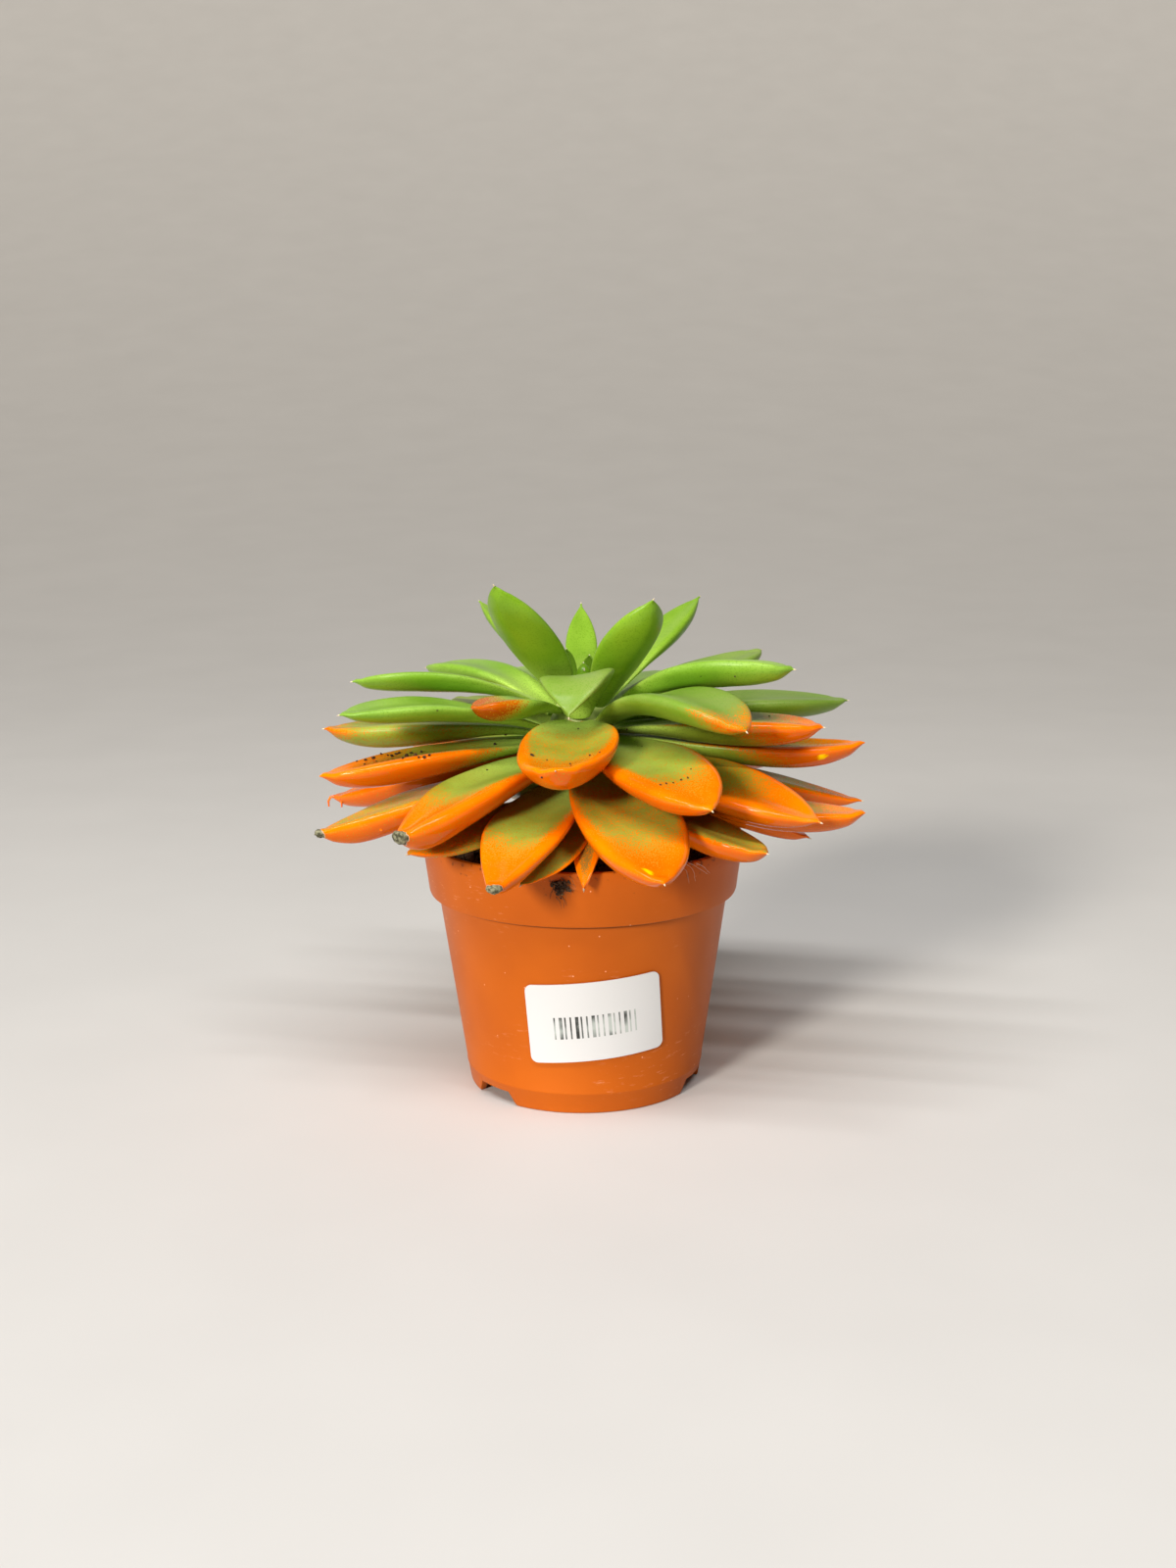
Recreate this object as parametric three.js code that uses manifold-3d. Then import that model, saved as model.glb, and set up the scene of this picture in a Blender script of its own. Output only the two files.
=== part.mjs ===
// A potted echeveria: a thick-leaved rosette on a short stem, rooted in peat in a small nursery pot
// with a paper label.
// Units are millimetres, +Z is up, and the origin is the centre of the pot's foot, on the surface
// it stands on.
// Azimuths are degrees from the front (-Y) towards the right (+X). Pitches are degrees above the horizontal.
import * as THREE from "three";
import { mergeVertices } from "three/addons/utils/BufferGeometryUtils.js";
import Module from "manifold-3d";

const wasm = await Module();
wasm.setup();

// Pot
const POT_HEIGHT = 71;
const RIM_RADIUS = 45;
const COLLAR_HEIGHT = 14.5;
const COLLAR_FOOT_RADIUS = 43.2;
const BODY_TOP_RADIUS = 40.8;
const BODY_FOOT_RADIUS = 32.6;
const WALL = 1.2;
const FLOOR_BOTTOM = 5;
const FLOOR_TOP = 6.6;
const FOOT_WIDTH = 1.7;
const NOTCH_HEIGHT = 3.9;
const NOTCH_TOP_WIDTH = 11.8;
const NOTCH_FOOT_WIDTH = 16.4;
const NOTCH_AZIMUTHS = [-49.5, 69.5, 188];
const DRAIN_HOLE_RADIUS = 3.2;
const DRAIN_HOLE_CIRCLE = 20;
const DRAIN_HOLE_COUNT = 6;
const DRAIN_HOLE_SIDES = 12;
const POT_SIDES = 60;
const EDGE_ROUND = 0.4;

// Peat and stem
const SOIL_EDGE_RADIUS = 42.2;
const SOIL_EDGE_HEIGHT = 67.5;
const SOIL_CROWN_RADIUS = 24;
const SOIL_CROWN_HEIGHT = 70;
const SEAT_GAP = 0.3;
const STEM_FOOT_HEIGHT = 34;
const STEM_SHOULDER_HEIGHT = 100;
const STEM_TOP_HEIGHT = 111;
const STEM_RING_STEP = 2.75;
const STEM_RADIUS = 9.5;
const STEM_FOOT_RADIUS = 5.5;
const STEM_SIDES = 24;

// Label
const LABEL_WIDTH = 37;
const LABEL_HEIGHT = 23;
const LABEL_THICKNESS = 0.4;
const LABEL_AZIMUTH = 5;
const LABEL_CENTRE_HEIGHT = 28;
const LABEL_TILT_DEG = 5;
const LABEL_CORNER_RADIUS = 2;
const LABEL_COLUMN_PLACES = [-0.5, -0.48, -0.445, -0.3, -0.15, 0, 0.15, 0.3, 0.445, 0.48, 0.5];

// Leaves
const YOUNG_LEAF_THICKNESS_SHARE = 0.31;
const OLD_LEAF_THICKNESS_SHARE = 0.2;
const OLD_LEAF_THICKNESS_BASE = 3;
const LEAF_DEFAULTS = { roll: 0, sweep: 0, cup: 0.14 };
const SPINE_STEPS = 60;
const ROLL_REACHED_AT = 0.4;
const ROOT_THICKNESS_SHARE = 0.26;

const RAD = Math.PI / 180;
const COLLAR_FOOT = POT_HEIGHT - COLLAR_HEIGHT;
const COLLAR_STEP = COLLAR_FOOT - 1;

const MATERIALS = {
  pot: new THREE.MeshStandardMaterial({ color: 0xc4602a, roughness: 0.5, metalness: 0 }),
  label: new THREE.MeshStandardMaterial({ color: 0xf1f1ee, roughness: 0.6, metalness: 0 }),
  soil: new THREE.MeshStandardMaterial({ color: 0x2b1d14, roughness: 1, metalness: 0 }),
  stem: new THREE.MeshStandardMaterial({ color: 0x9aa562, roughness: 0.7, metalness: 0 }),
  green: new THREE.MeshStandardMaterial({ color: 0x8cb848, roughness: 0.45, metalness: 0 }),
  painted: new THREE.MeshStandardMaterial({ color: 0xf08212, roughness: 0.35, metalness: 0 }),
  dried: new THREE.MeshStandardMaterial({ color: 0xb87a24, roughness: 0.8, metalness: 0 }),
};

const part = new THREE.Group();

function addNode(name, geometry, material) {
  const mesh = new THREE.Mesh(geometry, material);
  mesh.name = name;
  part.add(mesh);
  return mesh;
}

// A closed geometry as a manifold solid, with its shared corners merged.
function toSolid(geometry) {
  const bare = new THREE.BufferGeometry();
  bare.setAttribute("position", geometry.getAttribute("position"));
  if (geometry.index) bare.setIndex(geometry.index);
  const merged = mergeVertices(bare, 1e-3);
  return new wasm.Manifold(
    new wasm.Mesh({
      numProp: 3,
      vertProperties: new Float32Array(merged.attributes.position.array),
      triVerts: new Uint32Array(merged.index.array),
    }),
  );
}

function toGeometry(solid) {
  const mesh = solid.getMesh();
  const geometry = new THREE.BufferGeometry();
  geometry.setAttribute("position", new THREE.BufferAttribute(mesh.vertProperties, 3));
  geometry.setIndex(new THREE.BufferAttribute(mesh.triVerts, 1));
  return geometry;
}

// A profile of [radius, height] pairs, anticlockwise seen with the axis at the left, turned about the Z axis.
function turned(profile, sides) {
  const points = profile.map(([radius, height]) => new THREE.Vector2(radius, height));
  return new THREE.LatheGeometry(points, sides).rotateX(Math.PI / 2);
}

// The pot's outer wall radius at a height below the collar.
function bodyRadius(height) {
  const share = height / COLLAR_FOOT;
  return BODY_FOOT_RADIUS + (BODY_TOP_RADIUS - BODY_FOOT_RADIUS) * share;
}

// The air of one foot notch: a bar with slanting ends that runs outwards through the foot ring.
function notchGeometry(azimuth) {
  const outline = new THREE.Shape();
  outline.moveTo(-NOTCH_FOOT_WIDTH / 2, -1);
  outline.lineTo(NOTCH_FOOT_WIDTH / 2, -1);
  outline.lineTo(NOTCH_TOP_WIDTH / 2, NOTCH_HEIGHT);
  outline.lineTo(-NOTCH_TOP_WIDTH / 2, NOTCH_HEIGHT);
  const bar = new THREE.ExtrudeGeometry(outline, { depth: BODY_FOOT_RADIUS, bevelEnabled: false });
  return bar.rotateX(Math.PI / 2).translate(0, -NOTCH_FOOT_WIDTH, 0).rotateZ(azimuth * RAD);
}

function potGeometry() {
  const profile = [
    [0, FLOOR_BOTTOM],
    [BODY_FOOT_RADIUS - FOOT_WIDTH - 1, FLOOR_BOTTOM],
    [BODY_FOOT_RADIUS - FOOT_WIDTH, 0],
    [BODY_FOOT_RADIUS - 2 * EDGE_ROUND, 0],
    [BODY_FOOT_RADIUS, 2 * EDGE_ROUND],
    [bodyRadius(COLLAR_STEP), COLLAR_STEP],
    [COLLAR_FOOT_RADIUS - 2 * EDGE_ROUND, COLLAR_STEP],
    [COLLAR_FOOT_RADIUS, COLLAR_FOOT],
    [RIM_RADIUS, POT_HEIGHT - EDGE_ROUND],
    [RIM_RADIUS - EDGE_ROUND, POT_HEIGHT],
    [RIM_RADIUS - WALL, POT_HEIGHT],
    [RIM_RADIUS - WALL - EDGE_ROUND, POT_HEIGHT - EDGE_ROUND],
    [COLLAR_FOOT_RADIUS - 2 * WALL, COLLAR_FOOT + WALL],
    [bodyRadius(COLLAR_STEP) - WALL, COLLAR_STEP],
    [bodyRadius(FLOOR_TOP) - WALL, FLOOR_TOP],
    [0, FLOOR_TOP],
  ];
  let pot = toSolid(turned(profile, POT_SIDES));
  for (const azimuth of NOTCH_AZIMUTHS) pot = pot.subtract(toSolid(notchGeometry(azimuth)));
  for (let i = 0; i < DRAIN_HOLE_COUNT; i += 1) {
    const angle = (i / DRAIN_HOLE_COUNT) * 2 * Math.PI;
    const radius = DRAIN_HOLE_RADIUS;
    const drill = new THREE.CylinderGeometry(radius, radius, FLOOR_TOP, DRAIN_HOLE_SIDES);
    drill.rotateX(Math.PI / 2);
    drill.translate(DRAIN_HOLE_CIRCLE * Math.sin(angle), -DRAIN_HOLE_CIRCLE * Math.cos(angle), FLOOR_TOP);
    pot = pot.subtract(toSolid(drill));
  }
  return toGeometry(pot);
}

// The stem: an upright column that rounds off to the growing point.
function stemRadius(height) {
  if (height <= STEM_SHOULDER_HEIGHT) return STEM_RADIUS;
  const share = (height - STEM_SHOULDER_HEIGHT) / (STEM_TOP_HEIGHT - STEM_SHOULDER_HEIGHT);
  return STEM_RADIUS * Math.sqrt(Math.max(0, 1 - 0.85 * share * share));
}

function stemGeometry() {
  const profile = [
    [0, STEM_FOOT_HEIGHT],
    [STEM_FOOT_RADIUS, STEM_FOOT_HEIGHT],
    [STEM_RADIUS, SOIL_CROWN_HEIGHT - STEM_RADIUS],
  ];
  for (let height = STEM_SHOULDER_HEIGHT; height < STEM_TOP_HEIGHT; height += STEM_RING_STEP) {
    profile.push([stemRadius(height), height]);
  }
  profile.push([stemRadius(STEM_TOP_HEIGHT), STEM_TOP_HEIGHT], [0, STEM_TOP_HEIGHT + 1]);
  return turned(profile, STEM_SIDES);
}

// The peat: fills the pot, sinks a little towards the wall and has a plain hole for the stem.
function soilGeometry() {
  const wall = (height) => bodyRadius(height) - WALL - SEAT_GAP;
  const hole = STEM_RADIUS + SEAT_GAP;
  const holeFloor = STEM_FOOT_HEIGHT - SEAT_GAP;
  const profile = [
    [0, FLOOR_TOP + SEAT_GAP],
    [wall(FLOOR_TOP + SEAT_GAP), FLOOR_TOP + SEAT_GAP],
    [wall(COLLAR_STEP), COLLAR_STEP],
    [COLLAR_FOOT_RADIUS - 2 * WALL - SEAT_GAP, COLLAR_FOOT + WALL],
    [SOIL_EDGE_RADIUS, SOIL_EDGE_HEIGHT],
    [SOIL_CROWN_RADIUS, SOIL_CROWN_HEIGHT],
    [hole, SOIL_CROWN_HEIGHT],
    [hole, holeFloor],
    [0, holeFloor],
  ];
  return turned(profile, POT_SIDES);
}

// How far the label's rounded corner falls below its long edge, a distance in from the short edge.
function cornerFall(inset) {
  const reach = Math.max(0, LABEL_CORNER_RADIUS - inset);
  return LABEL_CORNER_RADIUS - Math.sqrt(LABEL_CORNER_RADIUS ** 2 - reach ** 2);
}

// The label: a paper rectangle with rounded corners, wrapped on the tapered wall.
function labelGeometry() {
  const columns = LABEL_COLUMN_PLACES.length - 1;
  const blank = new THREE.BoxGeometry(1, 1, LABEL_THICKNESS, columns, 1, 1);
  const at = blank.getAttribute("position");
  const tilt = LABEL_TILT_DEG * RAD;
  for (let i = 0; i < at.count; i += 1) {
    const x = LABEL_WIDTH * LABEL_COLUMN_PLACES[Math.round((at.getX(i) + 0.5) * columns)];
    const y = Math.sign(at.getY(i)) * (LABEL_HEIGHT / 2 - cornerFall(LABEL_WIDTH / 2 - Math.abs(x)));
    const across = x * Math.cos(tilt) - y * Math.sin(tilt);
    const height = LABEL_CENTRE_HEIGHT + x * Math.sin(tilt) + y * Math.cos(tilt);
    const wall = bodyRadius(height);
    const angle = LABEL_AZIMUTH * RAD + across / wall;
    const radius = wall + SEAT_GAP + LABEL_THICKNESS / 2 + at.getZ(i);
    at.setXYZ(i, radius * Math.sin(angle), -radius * Math.cos(angle), height);
  }
  return blank;
}

// A smooth curve through [share, value] pairs.
function curveThrough(pairs) {
  const curve = new THREE.SplineCurve(pairs.map(([x, y]) => new THREE.Vector2(x, y)));
  const samples = curve.getPoints(200);
  return (x) => {
    const after = samples.findIndex((p) => p.x >= x - 1e-9);
    if (after <= 0) return samples[Math.max(after, 0)].y;
    const [a, b] = [samples[after - 1], samples[after]];
    return a.y + ((b.y - a.y) * (x - a.x)) / (b.x - a.x || 1);
  };
}

// A leaf's width and thickness along its length, as shares of the widest and the thickest.
const BLADE_WIDTH = curveThrough([
  [0, 0.34], [0.12, 0.54], [0.25, 0.78], [0.4, 0.95], [0.55, 1],
  [0.7, 0.88], [0.83, 0.6], [0.92, 0.34], [0.97, 0.16], [1, 0.03],
]);
const BLADE_THICKNESS = curveThrough([
  [0, ROOT_THICKNESS_SHARE], [0.12, 0.34], [0.25, 0.5], [0.4, 0.75], [0.55, 0.95],
  [0.68, 1], [0.8, 0.86], [0.91, 0.54], [1, 0.06],
]);

// A leaf's section as shares of half its width and its thickness: from the right margin over the
// nearly flat upper face to the left margin, and back under the keel.
const SECTION = [
  [1, 0], [0.6, 0.12], [0, 0.06], [-0.6, 0.12], [-1, 0],
  [-0.9, -0.36], [-0.52, -0.74], [0, -0.94], [0.52, -0.74], [0.9, -0.36],
];

// Where the rings of section corners stand along a leaf.
const RING_PLACES = [0, 0, 0.12, 0.25, 0.4, 0.55, 0.7, 0.83, 0.92, 0.97, 1];

// A leaf's spine: points, and the directions along, across and up at each.
function spine({ azimuth, rootHeight, pitches, length, thickness, roll, sweep }) {
  const [atRoot, atMiddle, atTip] = pitches;
  const bend = (share) =>
    atRoot * (1 - share) * (1 - 2 * share) +
    atMiddle * 4 * share * (1 - share) +
    atTip * share * (2 * share - 1);
  const lean = Math.abs(Math.sin(atRoot * RAD)) * thickness * ROOT_THICKNESS_SHARE;
  const start = stemRadius(rootHeight) + SEAT_GAP + lean;
  const heading = azimuth * RAD;
  const at = new THREE.Vector3(start * Math.sin(heading), -start * Math.cos(heading), rootHeight);
  const frames = [];
  for (let i = 0; i <= SPINE_STEPS; i += 1) {
    const share = i / SPINE_STEPS;
    const turn = (azimuth + sweep * share * share) * RAD;
    const pitch = bend(share) * RAD;
    const along = new THREE.Vector3(
      Math.sin(turn) * Math.cos(pitch),
      -Math.cos(turn) * Math.cos(pitch),
      Math.sin(pitch),
    );
    const across = new THREE.Vector3(Math.cos(turn), Math.sin(turn), 0);
    across.applyAxisAngle(along, roll * RAD * Math.min(1, share / ROLL_REACHED_AT));
    const up = new THREE.Vector3().crossVectors(along, across);
    frames.push({ at: at.clone(), across, up });
    at.addScaledVector(along, length / SPINE_STEPS);
  }
  return frames;
}

// A leaf: a ball drawn out along the spine, nearly flat above, keeled below, and pointed at the tip.
function leafGeometry(leaf) {
  const rings = RING_PLACES.length - 1;
  const blank = new THREE.SphereGeometry(1, SECTION.length, rings);
  const at = blank.getAttribute("position");
  const uv = blank.getAttribute("uv");
  const frames = spine(leaf);
  for (let i = 0; i < at.count; i += 1) {
    const ring = Math.round((1 - uv.getY(i)) * rings);
    const share = RING_PLACES[ring];
    const pole = ring === 0 || ring === rings;
    const corner = Math.round((1 - uv.getX(i)) * SECTION.length) % SECTION.length;
    const [wide, deep] = pole ? [0, 0] : SECTION[corner];
    const halfWidth = (leaf.width / 2) * BLADE_WIDTH(share);
    const across = halfWidth * wide;
    const up = leaf.thickness * BLADE_THICKNESS(share) * deep + leaf.cup * halfWidth * wide * wide;
    const frame = frames[Math.round(share * SPINE_STEPS)];
    const point = frame.at.clone().addScaledVector(frame.across, across).addScaledVector(frame.up, up);
    at.setXYZ(i, point.x, point.y, point.z);
  }
  return blank;
}

// Leaves: name, azimuth, root height, pitch at the root, middle and tip, length, width, then what differs.
const LEAF_ROWS = [
  ["crown_leaf_1", 180, 110.5, 30, 38, 44, 34, 10, {}],
  ["crown_leaf_2", -33, 109, 52, 47, 42, 48, 18, { thickness: 5 }],
  ["crown_leaf_3", 38, 108.4, 54, 48, 42, 42, 18, { thickness: 5, sweep: -11 }],
  ["folded_leaf", -6, 105.6, 66, 14, -80, 38, 20, { thickness: 2.4, roll: 8, sweep: -7 }],
  ["crown_leaf_4", -147, 107.4, 33, 25, 18, 54, 12, {}],
  ["crown_leaf_5", 140, 107.3, 38, 28, 22, 52, 16, {}],
  ["upper_leaf_1", -84, 106.3, 33, 8, -9, 53, 19, { roll: 10 }],
  ["upper_leaf_2", 178, 106.8, 28, 4, -6, 52, 19, {}],
  ["upper_leaf_3", -47, 107.1, 18, 10, -12, 35, 12.5, {}],
  ["upper_leaf_4", 62, 106, 43, 15, -8, 57, 19, { roll: -8 }],
  ["upper_leaf_5", -130, 104, 40, 8, -16, 53, 18, {}],
  ["upper_leaf_6", 125, 105.3, 18, 11, 8, 56, 19, {}],
  ["upper_leaf_7", -160, 102.4, 20, 4, -4, 58, 20, {}],
  ["upper_leaf_8", -62, 101.5, 20, 7, -8, 61, 20, {}],
  ["upper_leaf_9", 38, 104, 32, 8, -32, 61, 23, {}],
  ["upper_leaf_10", 95, 103.7, 10, 3, -6, 65, 20, {}],
  ["upper_leaf_11", -8, 104.1, 3, -9, 12, 54, 25, { cup: 0.25, thickness: 6.6, roll: 6 }],
  ["upper_leaf_12", 154, 102.5, 12, 3, -6, 62, 20, {}],
  ["middle_leaf_1", -89, 99.8, 14, -1, -2, 61, 19, {}],
  ["middle_leaf_2", -144, 99.3, 7, 0, -8, 64, 21, {}],
  ["middle_leaf_3", -36, 95.6, -6, -13, -16, 67, 24, {}],
  ["middle_leaf_4", 65, 101.8, 8, 5, -4, 60, 20, {}],
  ["middle_leaf_5", 25, 100, -1, -5, -18, 66, 26, { roll: 6 }],
  ["middle_leaf_6", 124, 100.1, 8, 1, -6, 66, 21, {}],
  ["middle_leaf_7", 178, 100.2, 6, -2, -8, 66, 21, {}],
  ["middle_leaf_8", -68, 97.7, 0, -5, -8, 65, 20, { roll: 4 }],
  ["middle_leaf_9", 78, 99.5, -2, -2, 8, 68, 20, {}],
  ["middle_leaf_10", -125, 96.7, 0, -10, -16, 60, 20, {}],
  ["middle_leaf_11", 150, 97.6, 0, -6, -8, 68, 22, {}],
  ["middle_leaf_12", -16, 89.3, -12, -15, -21, 66, 22, { thickness: 5.6 }],
  ["middle_leaf_13", 110, 90.6, -8, -12, -8, 60, 20, { thickness: 6 }],
  ["middle_leaf_14", -164, 95, 0, -6, -10, 67, 22, {}],
  ["middle_leaf_15", 51, 96.3, -5, -9, -16, 69, 24, { thickness: 7.2 }],
  ["middle_leaf_16", -62, 92, -10, -12, -12, 70, 20, {}],
  ["lower_leaf_1", 14, 94.2, -12, -16, -16, 71, 27, {}],
  ["lower_leaf_2", -102, 94.4, -8, -16, -18, 65, 19, {}],
  ["lower_leaf_3", 170, 92.3, -8, -11, -12, 70, 23, {}],
  ["lower_leaf_4", -142, 91.7, -8, -13, -14, 68, 22, {}],
  ["lower_leaf_5", 88, 94.9, -5, -13, -14, 69, 19, { thickness: 6.4 }],
  ["lower_leaf_6", 131, 94.2, -6, -12, -14, 68, 20, { thickness: 4.8 }],
  ["lower_leaf_7", 68, 90.6, -14, -7, 6, 71, 20, { thickness: 6.4 }],
  ["lower_leaf_8", -43, 85.4, -13, -10, -6, 57, 20, { thickness: 5 }],
  ["lower_leaf_9", -117, 88.5, -14, -16, -10, 77, 20, {}],
  ["lower_leaf_10", -81, 88.6, -15, -18, -20, 58, 18, {}],
  ["lower_leaf_11", -8, 85.4, -13, -18, -25, 50, 17, { thickness: 3.4, sweep: -24 }],
  ["lower_leaf_12", 43, 86.2, -12, -11, -5, 61, 21, { thickness: 6.4 }],
  ["lower_leaf_13", 80, 83.6, -10, -13, -30, 57, 17, { thickness: 5 }],
  ["lower_leaf_14", -160, 85.6, -12, -14, -20, 64, 20, {}],
  ["lower_leaf_15", 152, 86.9, -12, -14, -20, 64, 20, {}],
  ["lower_leaf_16", 109, 87.1, -14, -16, -16, 64, 19, { thickness: 4.8 }],
  ["dried_leaf", 10, 78, -3, -6, -62, 44, 8, { thickness: 2.4, sweep: -22 }],
  ["bud_leaf_1", 90, 110.8, 76, 80, 88, 13, 9, { thickness: 2.8 }],
  ["bud_leaf_2", -90, 110.8, 76, 80, 88, 12, 9, { thickness: 2.8 }],
  ["bud_leaf_3", 8, 111, 76, 82, 92, 9, 7, { thickness: 2.4 }],
];

for (const row of LEAF_ROWS) {
  const [name, azimuth, rootHeight, atRoot, atMiddle, atTip, length, width, extras] = row;
  const young = name.startsWith("upper") || name.startsWith("crown");
  const leaf = {
    ...LEAF_DEFAULTS,
    azimuth,
    rootHeight,
    pitches: [atRoot, atMiddle, atTip],
    length,
    width,
    thickness: young
      ? width * YOUNG_LEAF_THICKNESS_SHARE
      : width * OLD_LEAF_THICKNESS_SHARE + OLD_LEAF_THICKNESS_BASE,
    ...extras,
  };
  const material = /^(lower|middle)/.test(name) ? MATERIALS.painted : MATERIALS.green;
  addNode(name, leafGeometry(leaf), material);
}

addNode("pot", potGeometry(), MATERIALS.pot);
addNode("peat", soilGeometry(), MATERIALS.soil);
addNode("stem", stemGeometry(), MATERIALS.stem);
addNode("label", labelGeometry(), MATERIALS.label);

export default part;
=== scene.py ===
"""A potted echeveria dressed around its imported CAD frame: waxy leaves half covered in spray paint, peat and a pot.

Everything is in metres in the frame's axes: it stands on z = 0, its front looks along -Y, and +X is at the right.
"""

import logging
import math
import random
from collections.abc import Callable
from dataclasses import dataclass, field
from enum import Enum

import bmesh
import bpy
from mathutils import Matrix, Vector, noise


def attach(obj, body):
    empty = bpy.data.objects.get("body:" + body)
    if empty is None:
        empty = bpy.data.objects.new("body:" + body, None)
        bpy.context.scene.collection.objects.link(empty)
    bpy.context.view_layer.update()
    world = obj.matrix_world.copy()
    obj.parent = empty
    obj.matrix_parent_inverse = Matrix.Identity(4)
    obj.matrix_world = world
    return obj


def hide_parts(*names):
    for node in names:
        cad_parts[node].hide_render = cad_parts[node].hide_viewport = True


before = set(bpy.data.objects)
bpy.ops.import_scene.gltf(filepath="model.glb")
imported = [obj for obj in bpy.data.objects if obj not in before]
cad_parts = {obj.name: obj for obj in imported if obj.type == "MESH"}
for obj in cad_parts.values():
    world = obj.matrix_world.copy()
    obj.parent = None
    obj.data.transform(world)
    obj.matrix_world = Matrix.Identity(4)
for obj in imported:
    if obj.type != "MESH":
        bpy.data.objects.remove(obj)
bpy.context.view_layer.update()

MM = 0.001
MERGE_DISTANCE = 0.002 * MM
log = logging.getLogger("potted_echeveria")
BMesh = bmesh.types.BMesh


# ---------------------------------------------------------------- small helpers


def srgb(code: str) -> tuple[float, float, float, float]:
    """Turns an sRGB hex colour into the linear colour that nodes and lights use.

    Args:
        code: The colour as "#RRGGBB".

    Returns:
        The linear red, green, blue and an alpha of one.
    """
    channels = [int(code[i : i + 2], 16) / 255 for i in (1, 3, 5)]
    linear = [c / 12.92 if c <= 0.04045 else ((c + 0.055) / 1.055) ** 2.4 for c in channels]
    return linear[0], linear[1], linear[2], 1.0


def per(size: float) -> float:
    """The scale of a pattern whose features are so many millimetres wide."""
    return 1 / (size * MM)


def smooth(low: float, high: float, value: float) -> float:
    """Rises smoothly from 0 at low to 1 at high.

    Args:
        low: Where the rise starts.
        high: Where it ends; it may be below low, for a fall.
        value: The place that is asked for.

    Returns:
        The share between 0 and 1.
    """
    share = min(1.0, max(0.0, (value - low) / (high - low)))
    return share * share * (3 - 2 * share)


def mix(a: float | Vector, b: float | Vector, share: float) -> float | Vector:
    """Goes from a to b as share goes from 0 to 1."""
    return a * (1 - share) + b * share


def around(azimuth: float, radius: float, height: float) -> Vector:
    """A point round the pot's axis.

    Args:
        azimuth: Degrees from the front, growing towards +X.
        radius: Millimetres from the axis.
        height: Millimetres above the ground.

    Returns:
        The point in metres.
    """
    turn = math.radians(azimuth)
    return Vector((radius * math.sin(turn), -radius * math.cos(turn), height)) * MM


class Slot(Enum):
    """The record's material slots."""

    POT = "pot"
    LABEL = "label"
    PEAT = "peat"
    STEM = "stem"
    GREEN = "green_leaf"
    PAINTED = "painted_leaf"
    DRIED = "dried_leaf"


def weld(bm: BMesh) -> None:
    """Joins the vertices that lie in one place."""
    bmesh.ops.remove_doubles(bm, verts=bm.verts, dist=MERGE_DISTANCE)


def mesh_of(name: str, bm: BMesh) -> bpy.types.Mesh:
    """Turns a bmesh, which is used up, into a smooth-shaded mesh."""
    for face in bm.faces:
        face.smooth = True
    mesh = bpy.data.meshes.new(name)
    bm.to_mesh(mesh)
    bm.free()
    return mesh


def placed(name: str, data: bpy.types.ID) -> bpy.types.Object:
    """Makes an object of a mesh, a light or a camera and puts it in the scene."""
    obj = bpy.data.objects.new(name, data)
    bpy.context.scene.collection.objects.link(obj)
    return obj


def piece(
    name: str, bm: BMesh, finish: "Finish", stands_for: tuple[str, ...] = (), crease: float = 40.0
) -> None:
    """Closes a mesh into a finished object at the origin, which rides on the root body.

    Args:
        name: The piece's name.
        bm: The mesh, which is used up.
        finish: Its material.
        stands_for: The CAD nodes that it replaces.
        crease: Edges sharper than this many degrees stay sharp.
    """
    weld(bm)
    bmesh.ops.recalc_face_normals(bm, faces=bm.faces)
    mesh = mesh_of(name, bm)
    mesh.set_sharp_from_angle(angle=math.radians(crease))
    mesh.materials.append(finish.material())
    obj = placed(name, mesh)
    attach(obj, "root")
    if stands_for:
        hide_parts(*stands_for)
    log.info("%s: %d faces", name, len(mesh.polygons))


def strand(bm: BMesh, points: list[Vector], radii: list[float], sides: int = 5) -> None:
    """Extrudes a small disc along a line of points, as a fibre, hair or drip.

    Args:
        bm: The mesh that it is added to.
        points: The line, in metres.
        radii: The radius at each point, in metres.
        sides: The number of sides.
    """
    heading = (points[1] - points[0]).normalized()
    spin = Vector((0, 0, 1)).rotation_difference(heading).to_matrix().to_4x4()
    disc = bmesh.ops.create_circle(
        bm, cap_ends=True, segments=sides, radius=radii[0], matrix=Matrix.Translation(points[0]) @ spin
    )
    cap = disc["verts"][0].link_faces[0]
    for i in range(1, len(points)):
        ahead = (points[min(i + 1, len(points) - 1)] - points[i - 1]).normalized()
        turn = heading.rotation_difference(ahead).to_matrix().to_4x4()
        grown = bmesh.ops.extrude_face_region(bm, geom=[cap])
        cap = next(g for g in grown["geom"] if isinstance(g, bmesh.types.BMFace))
        grow = turn @ Matrix.Scale(radii[i] / radii[i - 1], 4)
        move = Matrix.Translation(points[i]) @ grow @ Matrix.Translation(-points[i - 1])
        bmesh.ops.transform(bm, matrix=move, verts=cap.verts)
        heading = ahead


def turned(profile: list[tuple[float, float]], steps: int) -> BMesh:
    """Spins a profile of (radius, height) corners in millimetres once round the pot's axis.

    Args:
        profile: The corners in order; a closed ring of them repeats none.
        steps: The number of steps round.

    Returns:
        The closed mesh.
    """
    bm = bmesh.new()
    corners = [bm.verts.new((r * MM, 0, z * MM)) for r, z in profile]
    loop = zip(corners, corners[1:] + corners[:1]) if profile[0][0] > 0 else zip(corners, corners[1:])
    lines = [bm.edges.new(pair) for pair in loop]
    bmesh.ops.spin(
        bm, geom=corners + lines, axis=(0, 0, 1), cent=(0, 0, 0), angle=2 * math.pi, steps=steps, use_merge=True
    )
    weld(bm)
    return bm


# ---------------------------------------------------------------- finishes


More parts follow.
